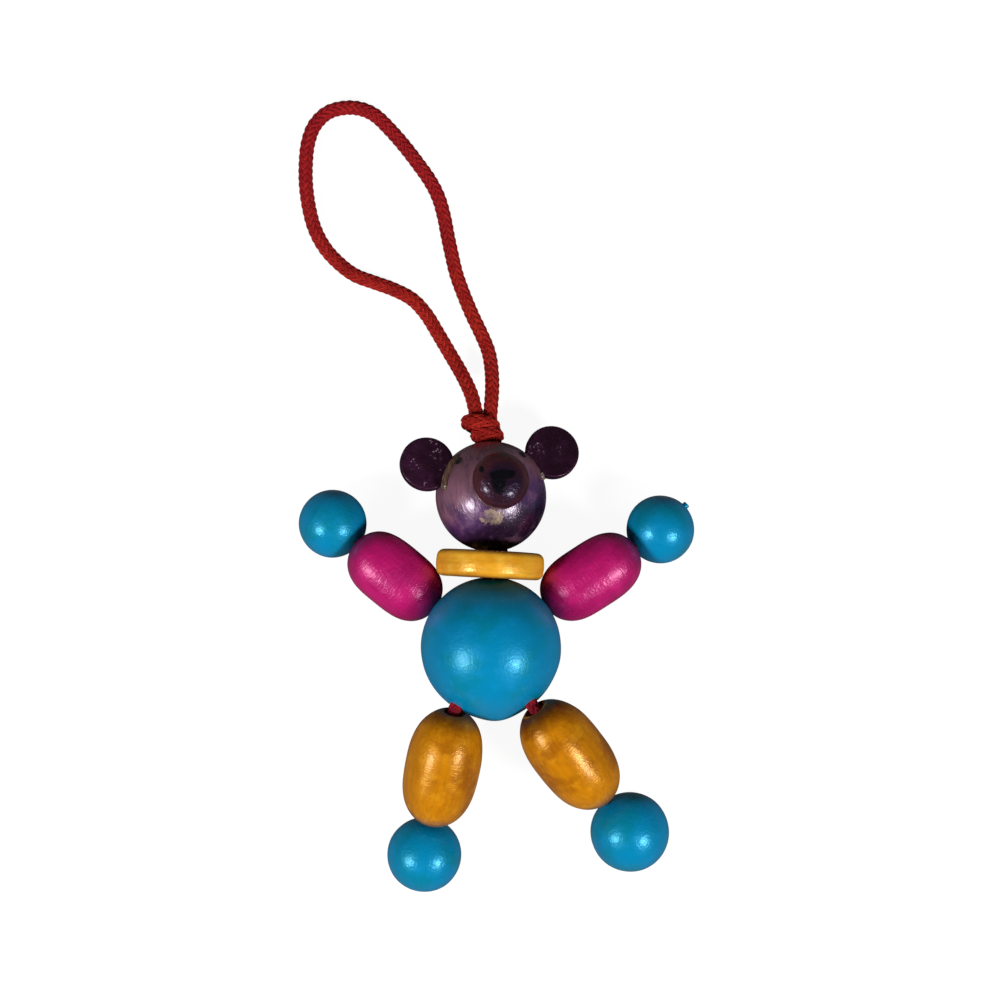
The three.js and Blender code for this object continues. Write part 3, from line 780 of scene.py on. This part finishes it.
knot = braided(
    "loop_knot_braid", knot_line(), Up=tuple(head_up), Radius=1.72 * mm, Step=0.3 * mm, Turn_length=15 * mm
)
seat(knot, "head_strings", "loop_knot", slot="red_cotton")
print("knot:", len(knot.data.polygons), "faces")


# %% [markdown]
# A barrel sits loose on its cord. The legs have slid up towards the torso and lean about 4 degrees
# more than the cord, lower ends down. The hole in each foot starts 10 degrees above the foot's
# middle. These places are worked out first, as the cord has to pass them.

# %% Where the legs lie and how the feet are strung
leg_radius = 8 * mm
leg_length = {"left": 26.8 * mm, "right": 27.5 * mm}
leg_slide = {"left": -0.65 * mm, "right": -0.35 * mm}
leg_lean = {"left": math.radians(-4), "right": math.radians(-3.5)}
mouth_rise = math.tan(math.radians(10))
foot_way, leg_place = {}, {}
for side in sides:
    slide, lean = Matrix.Translation((0, leg_slide[side], 0)), Matrix.Rotation(leg_lean[side], 4, "X")
    leg_place[side] = leg_frame[side] @ slide @ lean
    flat = -foot_frame[side].to_3x3().col[1]
    flat.z = 0
    foot_way[side] = (flat.normalized() + Vector((0, 0, mouth_rise))).normalized()
leg_tops = [round((leg_place[side].translation.z + leg_radius) / mm, 1) for side in sides]
print("the legs' tops are", leg_tops, "mm high")


# %% [markdown]
# The main cord's two strands run from the knot down through head, collar and torso, and each comes
# out at a hip and ends in a foot. Only a few millimetres show. They cross joints, and a piece can
# bend over one joint at a time, so each strand is cut into five stretches, with the cuts inside
# the beads and at the hips' pivots.

# %% Main strands
def string_up(side, line, cuts):
    """Makes each stretch: title, two lengths, bodies, ends of the bend, nodes and braid sizes."""
    for title, start, end, (body_a, body_b), (before, after), nodes, sizes in cuts:
        node_names = [f"{side}_{node}" for node in nodes]
        piece = braided(f"{side}_{title}", stretch(line, start, end), start, **sizes)
        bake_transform(piece)
        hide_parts(*node_names)


def up(y):
    """A step along a frame's Y axis."""
    return Vector((0, y, 0))


strand_offset, strand_front, bore_depth = 1.2 * mm, 0.3 * mm, 0.6
cut_before, bend_reach, mid_neck = 3.2 * mm, 1.2 * mm, 3 * mm
neck_length = (pivot("head_tilt") - pivot("head_nod")).length
at_hips = {"Radius": 1.4 * mm, "Material": hip_cotton}
# Pressed cord is thinner, and painted dark as shade where it runs between beads
pressed = {
    "Radius": 1 * mm, "Strand_width": 0.6 * mm, "Strand_thickness": 0.3 * mm, "Turn_length": 7 * mm,
    "Material": shaded_cotton,
}
in_foot = {**pressed, "Radius": 0.85 * mm}
strand_lengths = []
for side, across in zip(sides, (-strand_offset, strand_offset)):
    offset = Vector((across, 0, 0))
    hip, ankle = pivot(f"{side}_leg_swing"), pivot(f"{side}_foot_swing")
    foot_end = foot_frame[side] @ up((2 * bore_depth - 1) * foot_radius[side])
    foot_mouth = foot_frame[side].translation + foot_way[side] * foot_radius[side]
    line = smooth_line([
        *[string_frame @ (offset + up(y)) for y in (head_radius + 0.4 * mm, 0, 1 * mm - head_radius)],
        *[neck_frame @ (offset + up(y)) for y in (neck_length, mid_neck, 0)],
        *[torso + Vector((across, y * mm, strand_front)) for y in (9.0, 3.5, 0.2)],
        *[torso.lerp(hip, share) for share in (0.22, 0.45, 0.75)],
        hip,
        *[hip.lerp(ankle, share) for share in (0.2, 0.5, 0.8)],
        leg_place[side] @ Vector((0, leg_length[side] / 2 - 0.7 * mm, 0.6 * mm)),
        foot_mouth, foot_mouth.lerp(foot_end, 0.5), foot_end,
    ])
    at_tilt, at_neck, at_nod = [
        length_at(line, neck_frame @ (offset + up(y))) for y in (neck_length, mid_neck, 0)
    ]
    at_hip, at_ankle, at_end = length_at(line, hip), length_at(line, ankle), lengths(line)[-1]
    past_tilt, past_nod, past_hip, past_ankle = [
        bend_range(line, at, bend_reach) for at in (at_tilt, at_nod, at_hip, at_ankle)
    ]
    hip_body, leg_body, foot_body = f"{side}_hip", f"{side}_leg", f"{side}_foot"
    torso_end, leg_end = at_hip - cut_before, at_ankle - cut_before
    string_up(side, line, [
        ("head_strand", 0, at_neck, ("neck", "head_strings"), past_tilt[::-1], ["head_cord"], pressed),
        ("torso_strand", at_neck, torso_end, ("torso", "neck"), past_nod[::-1],
         ["torso_cord", "neck_cord"], pressed),
        ("hip_strand", torso_end, at_hip, ("torso", hip_body), (past_hip[0], hip), ["hip_bend"], at_hips),
        ("leg_strand", at_hip, leg_end, (hip_body, leg_body), (hip, past_hip[1]), ["leg_cord"], at_hips),
        ("foot_strand", leg_end, at_end, (leg_body, foot_body), past_ankle, ["foot_cord"], in_foot),
    ])
    strand_lengths.append(round(at_end / mm, 1))
print("main strands:", strand_lengths, "mm")


# %% [markdown]
# A thinner cord runs straight across the torso, behind the two strands, and out through both arm
# beads into the hands. It is the same braid with half the strands. Each hand has rolled on its
# cord until its bore lies level, so the cord bends down to its mouth under the arm's end and the
# peg on the far side comes up to the hand's outline.

# %% Arm cord
thin = {
    "Radius": 0.55 * mm, "Strands_each_way": 4, "Turn_length": 5 * mm, "Strand_width": 0.62 * mm,
    "Strand_thickness": 0.25 * mm, "Step": 0.4 * mm,
}
# The thread into each hand is painted dark as shade
shaded_thin = {**thin, "Material": shaded_cotton}
inside_torso, cut_before_wrist = 2 * mm, 2 * mm
shoulders = {side: pivot(f"{side}_arm_swing") for side in sides}
between = (shoulders["right"] - shoulders["left"]).length
arm_length = {"left": 22.5 * mm, "right": 23.5 * mm}
peg_way = {"left": Vector((-0.77, 0.638, 0)), "right": Vector((0.725, 0.688, 0))}
hand_place = {side: bead_frame(hand_frame[side].translation, peg_way[side]) for side in sides}
middle = stretch(list(shoulders.values()), inside_torso, between - inside_torso)
seat(braided("shoulder_thread", middle, **thin), "torso", "shoulder_cord", slot="red_cotton")
for side, other in zip(sides, sides[::-1]):
    shoulder, wrist = shoulders[side], pivot(f"{side}_hand_swing")
    inward = (shoulders[other] - shoulder).normalized() * inside_torso
    line = smooth_line([
        shoulder + inward, shoulder, shoulder.lerp(wrist, 0.3), shoulder.lerp(wrist, 0.7),
        arm_frame[side] @ Vector((0, arm_length[side] / 2 - 0.5 * mm, -0.3 * mm)),
        *[hand_place[side] @ up(y) for y in (-hand_radius[side], -0.6 * hand_radius[side], 2.4 * mm)],
    ])
    at_shoulder, at_wrist, at_end = length_at(line, shoulder), length_at(line, wrist), lengths(line)[-1]
    shoulder_body, arm_body, hand_body = f"{side}_shoulder", f"{side}_arm", f"{side}_hand"
    string_up(side, line, [
        ("shoulder_thread", 0, at_shoulder, ("torso", shoulder_body), (shoulder + inward, shoulder),
         ["shoulder_bend"], thin),
        ("arm_thread", at_shoulder, at_wrist - cut_before_wrist, (shoulder_body, arm_body),
         (shoulder, point_at(line, at_shoulder + 1.5 * mm)), ["arm_cord"], thin),
        ("hand_thread", at_wrist - cut_before_wrist, at_end, (arm_body, hand_body),
         bend_range(line, at_wrist, 1 * mm), ["hand_cord"], shaded_thin),
    ])
print("arm cord:", round(between / mm, 1), "mm between the shoulders and",
      round((at_end - at_shoulder) / mm, 1), "mm beyond the right one")


# %% [markdown]
# Every bead of the doll is one rule: a profile turned round a bore. Its radius at a height y is
# R * sqrt(1 - |2y / L| ** n), which is a ball for n = 2 and a barrel with squarer shoulders for a
# larger n. A Screw modifier could turn a drawn profile, but then each bead needs its own drawing.
# This tree bends a flat grid round the axis by that rule instead. It then moves the skin by a few
# hundredths of a millimetre, because hand-turned beads are never quite true.

# %% Turned bead tree
def choose(picked, usual, other):
    """The usual value where picked is 0, and the other where it is 1."""
    return add(picked.tree, "GeometryNodeSwitch", {0: picked, 1: usual, 2: other}, input_type="FLOAT")


def bead_tree():
    tree, given = new_tree(
        "turned_bead", Length=20 * mm, Radius=8 * mm, Bluntness=2.0, Bore=0.0, Lip=0.0, Around=128, Rows=72,
        Wall_rows=0, Lumps=0.12 * mm, Lump_size=9 * mm, Seed=0.0, Material=None,
    )
    rows, wall, bore, lip = [given[title] for title in ("Rows", "Wall rows", "Bore", "Lip")]
    radius, blunt = given["Radius"], given["Bluntness"]
    all_rows = rows + wall
    corners = {"Vertices X": given["Around"] + 1.0, "Vertices Y": all_rows + 1.0}
    grid = add(tree, "GeometryNodeMeshGrid", {"Size X": 1.0, "Size Y": 1.0, **corners})
    place = split(add(tree, "GeometryNodeInputPosition"))
    angle = (place[0] + 0.5) * full_turn
    row = calc("ROUND", (place[1] + 0.5) * all_rows)

    # The outside, from one mouth of the bore to the other
    share = calc("POWER", (bore + lip) / radius, 2.0)
    top = calc("POWER", 1.0 - share, 1.0 / blunt)
    level = calc("COSINE", calc("MINIMUM", row / rows, 1.0) * math.pi) * (top * -1.0)
    power = calc("POWER", calc("ABSOLUTE", level), blunt)
    outside = calc("SQRT", calc("MAXIMUM", 1.0 - power, 0.0)) * radius

    # The wall of the bore, back to the first mouth
    deep = row - rows
    on_wall = calc("GREATER_THAN", deep, 0.5)
    closing = calc("GREATER_THAN", deep, wall - 0.5)
    down = calc("MAXIMUM", calc("MINIMUM", 2.0 - deep, 1.0), -1.0)
    y = choose(on_wall, level, down * top) * (given["Length"] * 0.5)
    out = choose(on_wall, outside, closing * lip + bore)
    turned_to = combine(calc("SINE", angle) * out, y, calc("COSINE", angle) * out)
    turned_grid = add(tree, "GeometryNodeSetPosition", {"Geometry": grid, "Position": turned_to})
    closed = add(tree, "GeometryNodeMergeByDistance", {"Geometry": turned_grid, "Distance": 0.001 * mm})

    # Unevenness of the hand-turned skin
    spread = add(tree, "GeometryNodeInputPosition") * (1.0 / given["Lump size"])
    inputs = {"Vector": spread + combine(given["Seed"], given["Seed"], 0.0), "Scale": 1.0, "Detail": 1.0}
    depth = (add(tree, "ShaderNodeTexNoise", inputs) - 0.5) * given["Lumps"]
    push = add(tree, "GeometryNodeInputNormal") * depth
    uneven = add(tree, "GeometryNodeSetPosition", {"Geometry": closed, "Offset": push})
    return finish_tree(uneven, given["Material"])


bead = bead_tree()


def turned_bead(name, place, material, **sizes):
    piece = grow(name, bead, {"Material": material, **sizes})
    piece.data.transform(place)
    return piece


print("bead tree:", len(bead.nodes), "nodes")


# %% [markdown]
# Small pieces with flat faces, such as the collar, ears, snout and pegs, come from a drawn profile
# that is turned round Y. The same helper makes the drills that cut holes into the larger beads.
# A drill widens where it leaves the bead, because the edge of a drilled hole wears round.

# %% Drawn profiles and drills
def smooth_mesh(mesh, sharp_from):
    """Smooth shading, with edges left sharp from an angle in degrees."""
    mesh.shade_smooth()
    mesh.set_sharp_from_angle(angle=math.radians(sharp_from))


def turned(name, profile, place, material=None, around=96):
    """A closed mesh from [radius, height] points, in metres, turned round the frame's Y axis."""
    bm = bmesh.new()
    is_ring = profile[0] == profile[-1]
    rings = []
    for radius, height in profile[: len(profile) - is_ring]:
        angles = [full_turn * k / around for k in range(around if radius else 1)]
        rings.append([bm.verts.new((radius * math.sin(a), height, radius * math.cos(a))) for a in angles])
    for low, high in zip(rings, rings[1:] + rings[:is_ring]):
        for k in range(around):
            after = k + 1
            corners = [low[k % len(low)], low[after % len(low)], high[after % len(high)], high[k % len(high)]]
            unique = list(dict.fromkeys(corners))
            if len(unique) > 2:
                bm.faces.new(unique)
    bmesh.ops.recalc_face_normals(bm, faces=bm.faces)
    mesh = bpy.data.meshes.new(name)
    bm.to_mesh(mesh)
    bm.free()
    mesh.transform(place)
    smooth_mesh(mesh, 38)
    if material:
        mesh.materials.append(material)
    return put(name, mesh)


def rounded(radius, centre_radius, centre_height, start, end, steps):
    """Profile points on an arc, between two angles from the +Y axis, in degrees."""
    angles = [math.radians(start + (end - start) * k / steps) for k in range(steps + 1)]
    return [(centre_radius + radius * math.sin(a), centre_height + radius * math.cos(a)) for a in angles]


drill_lip, drill_clear = 0.12 * mm, 4 * mm


def drill(piece, place, radius, surface, depth):
    """Cuts a hole along the frame's Y axis, whose mouth is surface metres from its origin."""
    lip, wide, above = drill_lip, radius + 2 * drill_lip, surface + drill_clear
    cutter = turned("drill", [
        (0, surface - depth), (radius, surface - depth), (radius, surface - 2 * lip),
        (radius + 0.15 * lip, surface - lip), (radius + 0.6 * lip, surface - 0.25 * lip),
        (wide, surface + 0.6 * lip), (wide, above), (0, above),
    ], place, around=64)
    modifier = piece.modifiers.new("drill", "BOOLEAN")
    modifier.operation, modifier.solver, modifier.object = "DIFFERENCE", "EXACT", cutter
    cut_mesh = plain_mesh(piece)
    piece.modifiers.remove(modifier)
    piece.data = cut_mesh
    bpy.data.objects.remove(cutter)
    smooth_mesh(cut_mesh, 50)


print("profiles and drills are ready")


# %% [markdown]
# The torso is a ball with five holes: one on top for both strands, one at each shoulder and one at
# each hip. The lathe has left a blunt tip at its lower end, which the loop below draws out. The
# head, the hands and the feet are balls too.

# %% Torso
torso_bead = turned_bead(
    "torso_ball", torso_frame, torso_finish, Length=2 * torso_radius, Radius=torso_radius,
    Around=192, Rows=112, Lumps=0.28 * mm, Seed=3.0,
)
tip_way, tip_height, tip_spread = Vector((0.085, -1, 0)).normalized(), 0.8 * mm, math.radians(20)
for vert in torso_bead.data.vertices:
    away = (vert.co - torso).angle(tip_way)
    vert.co += tip_way * tip_height * math.exp(-((away / tip_spread) ** 2))
# Radius of a hole, how far its mouth is from the centre, and its depth
arm_bore = 0.75 * mm
neck_hole, hip_hole = (2.3 * mm, 14.8 * mm, 10 * mm), (1.45 * mm, 14.9 * mm, 10 * mm)
arm_hole = (arm_bore, 14.7 * mm, 8 * mm)
drill(torso_bead, bead_frame(torso, pivot("head_nod") - torso), *neck_hole)
for side in sides:
    drill(torso_bead, bead_frame(torso, pivot(f"{side}_leg_swing") - torso), *hip_hole)
    level_centre = Vector((torso.x, torso.y, shoulders[side].z))
    drill(torso_bead, bead_frame(level_centre, shoulders[side] - level_centre), *arm_hole)
seat(torso_bead, "torso", "torso_bead", slot="blue_lacquer")
print("torso:", len(torso_bead.data.polygons), "faces")


# %% [markdown]
# Arms and legs are barrels with a bore from end to end. Their real lengths differ a little from
# side to side. The legs' bores are as wide as the thick cord needs, so a dark ring shows round it.

# %% Arms and legs
arm_shift = Matrix.Translation((0, -0.02 * mm, 0))
for number, side in enumerate(sides):
    arm_bead = turned_bead(
        f"{side}_arm_barrel", arm_frame[side] @ arm_shift, arm_finish[side], Length=arm_length[side],
        Radius=7.25 * mm, Bluntness=3.2, Bore=arm_bore, Lip=0.25 * mm, Wall_rows=4, Seed=5.0 + number,
        Lumps=0.22 * mm,
    )
    seat(arm_bead, f"{side}_arm_bead", f"{side}_arm_bead", slot="pink_lacquer")
    leg_bead = turned_bead(
        f"{side}_leg_barrel", leg_place[side], leg_finish[side], Length=leg_length[side],
        Radius=leg_radius, Bluntness=2.75, Bore=2.2 * mm, Lip=0.3 * mm, Wall_rows=4, Seed=8.0 + number,
        Lumps=0.24 * mm,
    )
    seat(leg_bead, f"{side}_leg_bead", f"{side}_leg_bead", slot="amber_lacquer")
print("barrels are strung")


# %% [markdown]
# A hand is drilled right through, and a small wooden peg from its far side holds the cord. The
# right peg stands a little proud. A foot has a blind hole, in which the cord is glued.

# %% Hands and feet
peg_radius, peg_length, peg_edge, foot_bore = 0.75 * mm, 4.5 * mm, 0.25 * mm, 0.95 * mm
peg_proud = {"left": 0.0, "right": 0.7 * mm}
for number, side in enumerate(sides):
    radius = hand_radius[side]
    hand = turned_bead(
        f"{side}_hand_ball", hand_place[side], hand_finish[side], Length=2 * radius, Radius=radius,
        Bore=arm_bore, Lip=0.1 * mm, Wall_rows=4, Seed=12.0 + number, Lumps=0.22 * mm,
    )
    seat(hand, f"{side}_hand", f"{side}_hand_bead", slot="blue_lacquer")
    outer = math.sqrt(radius**2 - arm_bore**2) + peg_proud[side]
    profile = [
        (0, outer - peg_length), (peg_radius, outer - peg_length), (peg_radius, outer - peg_edge),
        *rounded(peg_edge, peg_radius - peg_edge, outer - peg_edge, 80, 20, 4), (0, outer),
    ]
    peg = turned(f"{side}_hand_plug", profile, hand_place[side], hand_finish[side], 40)
    seat(peg, f"{side}_hand", f"{side}_hand_peg", slot="peg_wood")
    radius = foot_radius[side]
    foot = turned_bead(
        f"{side}_foot_ball", foot_frame[side], foot_finish[side], Length=2 * radius, Radius=radius,
        Seed=16.0 + number, Lumps=0.26 * mm,
    )
    way_in = bead_frame(foot_frame[side].translation, foot_way[side])
    drill(foot, way_in, foot_bore, radius - 0.08 * mm, 2 * radius * bore_depth)
    seat(foot, f"{side}_foot", f"{side}_foot_bead", slot="blue_lacquer")
print("hands and feet are on")


# %% [markdown]
# The collar is a thick washer with a rounded rim, seen edge-on. Its outline could be a bevelled
# cylinder, but a drawn profile gives the soft belly of a turned rim at once.

# %% Collar
collar_radius, collar_thickness, rim, crown = 11.6 * mm, 5.75 * mm, 1.6 * mm, 7 * mm
collar_bore, bore_edge = 4.6 * mm, 0.3 * mm
half = collar_thickness / 2
straight = half - rim
sag = crown - math.sqrt(crown**2 - straight**2)
lean = math.degrees(math.asin(straight / crown))
corner = collar_radius - sag - rim * math.cos(math.radians(lean))
low_corner = rounded(rim, corner, -half + rim, 180, 90 + lean, 8)
belly = rounded(crown, collar_radius - crown, 0, 90 + lean, 90 - lean, 8)
collar_profile = [
    (collar_bore, bore_edge - half), (collar_bore + bore_edge, -half), *low_corner, *belly[1:-1],
    *[(r, -y) for r, y in reversed(low_corner)],
    (collar_bore + bore_edge, half), (collar_bore, half - bore_edge), (collar_bore, bore_edge - half),
]
collar = turned("collar_washer", collar_profile, collar_frame, collar_finish, 160)
seat(collar, "collar", "collar_disc", slot="honey_lacquer")
print("collar:", len(collar.data.polygons), "faces")


# %% [markdown]
# The head is a ball with a bore, two discs let in for ears and a flattened dome for a snout.

# %% Head, ears and snout
head = turned_bead(
    "head_ball", head_frame, head_finish, Length=23.9 * mm, Radius=11.95 * mm, Bore=2.4 * mm,
    Lip=0.15 * mm, Around=176, Rows=104, Wall_rows=4, Seed=9.0, Lumps=0.24 * mm,
)
seat(head, "head", "head_bead", slot="violet_lacquer")

ear_radius, ear_thickness, ear_edge, ear_hollow = 5.83 * mm, 2.2 * mm, 0.45 * mm, 0.06 * mm
half = ear_thickness / 2
face = half - ear_hollow
inner, seam = 2 * mm, ear_radius - 1.2 * mm
ear_profile = [
    (0, -half), (inner, -half), (seam, -half),
    *rounded(ear_edge, ear_radius - ear_edge, -half + ear_edge, 180, 90, 5),
    *rounded(ear_edge, ear_radius - ear_edge, half - ear_edge, 90, 0, 5),
    (seam, face), (inner, face), (0, face),
]
head_turned = head_frame.to_3x3()
face_on = (head_turned @ Matrix.Rotation(math.radians(90), 3, "X")).to_4x4()
ear_nudge = [Vector(), Vector((0.5, 0.6, 0)) * mm]
for side, centre, nudge, finish in zip(sides, ear_centres, ear_nudge, ear_finishes):
    place = Matrix.Translation(centre + head_turned @ nudge) @ face_on
    ear = turned(f"{side}_ear_disc", ear_profile, place, finish)
    seat(ear, "head", f"{side}_ear", slot="dark_lacquer")

snout_back = head_radius - 1.3 * mm
snout_outline = [
    (0, 0), (5.2, 0), (5.6, 0.7), (5.85, 1.5), (6, 2.3), (5.98, 2.9), (5.85, 3.5), (5.6, 4.1),
    (5.22, 4.7), (4.7, 5.26), (4.05, 5.72), (3.3, 6.08), (2.4, 6.34), (1.2, 6.5), (0, 6.55),
]
snout_place = Matrix.Translation(head_frame @ Vector((0, 0, snout_back))) @ face_on
snout = turned("snout_button", [(r * mm, y * mm) for r, y in snout_outline], snout_place, nose_finish)
seat(snout, "head", "snout", slot="snout_lacquer")
print("head faces up with", len(head.data.polygons), "faces")


# %% [markdown]
# Glue squeezed out where the ears and the snout were set, and dried in uneven ridges. Each ridge
# is a curve with a bevel whose points have different radii, turned into a mesh.

# %% Glue
def ridge(name, points, radii, material, closed=False):
    curve = bpy.data.curves.new(name, "CURVE")
    curve.dimensions, curve.bevel_depth, curve.bevel_resolution = "3D", 1.0, 4
    curve.use_fill_caps = True
    spline = curve.splines.new("POLY")
    spline.points.add(len(points) - 1)
    for point, place, radius in zip(spline.points, points, radii):
        point.co = (*(head_frame @ Vector(place)), 1.0)
        point.radius = radius
    spline.use_cyclic_u = closed
    maker = put(name + "_maker", curve)
    mesh = plain_mesh(maker)
    bpy.data.objects.remove(maker)
    mesh.materials.clear()
    mesh.materials.append(material)
    mesh.shade_smooth()
    piece = put(name, mesh)
    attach(piece, "head")


def ear_ridge(name, across, turns, out, thick, material, slow):
    """A ridge along an ear's seat, out metres to the front of the ear's face."""
    points, radii = [], []
    level = ear_front + out
    reach = math.sqrt(head_radius**2 - level**2) - 0.15 * mm
    for k in range(ridge_steps + 1):
        angle = math.radians(turns[0] + (turns[1] - turns[0]) * k / ridge_steps)
        points.append((across * reach * math.cos(angle), reach * math.sin(angle), level))
        fade = min(1, k / 5, (ridge_steps - k) / 5) * 0.7 + 0.3
        waves = 0.92 + 0.12 * math.sin(k * slow + across) + 0.06 * math.sin(k * 2.3 * slow)
        radii.append(thick * fade * waves)
    ridge(name, points, radii, material)


ear_front, ridge_steps = 2.5 * mm + ear_thickness / 2, 40
ear_ridge("left_ear_glue", -1, (2, 54), 1.6 * mm, 1.0 * mm, olive_glue, 0.12)
ear_ridge("left_ear_glue_edge", -1, (5, 50), 0.5 * mm, 0.5 * mm, pale_glue, 0.25)
ear_ridge("right_ear_glue", 1, (10, 44), 0.9 * mm, 0.45 * mm, olive_glue, 0.5)
ear_ridge("right_ear_drop", 1, (8, 17), 0.5 * mm, 0.75 * mm, pale_glue, 0.9)
ring = [full_turn * k / 72 for k in range(72)]
snout_seat, seat_level = 5.3 * mm, snout_back + 0.1 * mm
ridge(
    "snout_glue", [(snout_seat * math.cos(a), snout_seat * math.sin(a), seat_level) for a in ring],
    [
        0.25 * mm + 0.14 * mm * math.sin(a * 2 + 1) * math.sin(a + 4)
        + 0.2 * mm * max(0, -math.sin(a - 0.5)) for a in ring
    ],
    olive_glue, closed=True,
)
print("glue is dry")


# %% [markdown]
# A plain table, two soft lamps low on the doll's left and right, and a weak even light from all
# round. Two lamps give each bead its two highlights in the lower half. Is Camera Ray makes table
# and room nearly white for the camera alone, so they don't light the doll from below. Glossy and
# transmission rays are left out of it, as the doll has no metal or glass that would show the room.

# %% Table and light
table_reach, table_grey, table_white = 3.0, 0.13, 0.93
room_light, room_white = 0.1, 0.9
lamp_distance, lamp_size, lamp_power = 0.8, 0.2, 4.7

corners = [(x * table_reach, y * table_reach, 0) for x, y in ((-1, -1), (1, -1), (1, 1), (-1, 1))]
table_mesh = bpy.data.meshes.new("table")
table_mesh.from_pydata(corners, [], [(0, 1, 2, 3)])
pale = bpy.data.materials.new("pale_table")
pale.use_nodes = True
seen = add(pale.node_tree, "ShaderNodeLightPath", out="Is Camera Ray")
plug(pale.node_tree.nodes["Principled BSDF"], {
    "Base Color": (table_grey, table_grey, table_grey, 1), "Roughness": 0.9, "Specular IOR Level": 0.1,
    "Emission Color": (1, 1, 1, 1), "Emission Strength": seen * table_white,
})
table_mesh.materials.append(pale)
table = put("table", table_mesh)

for name, direction in (("left_lamp", (-0.69, -0.28, 0.667)), ("right_lamp", (0.62, -0.38, 0.685))):
    lamp = bpy.data.lights.new(name, "AREA")
    lamp.shape, lamp.size, lamp.energy = "DISK", lamp_size, lamp_power
    holder = put(name, lamp)
    holder.location = torso + Vector(direction).normalized() * lamp_distance
    holder.rotation_euler = Vector(direction).to_track_quat("Z", "Y").to_euler()

scene.world = bpy.data.worlds.new("room")
scene.world.use_nodes = True
room = scene.world.node_tree
seen = add(room, "ShaderNodeLightPath", out="Is Camera Ray")
plug(room.nodes["Background"], {"Color": (1, 1, 1, 1), "Strength": seen * room_white + room_light})
scene.view_settings.view_transform = "Standard"
print("lamps are lit")
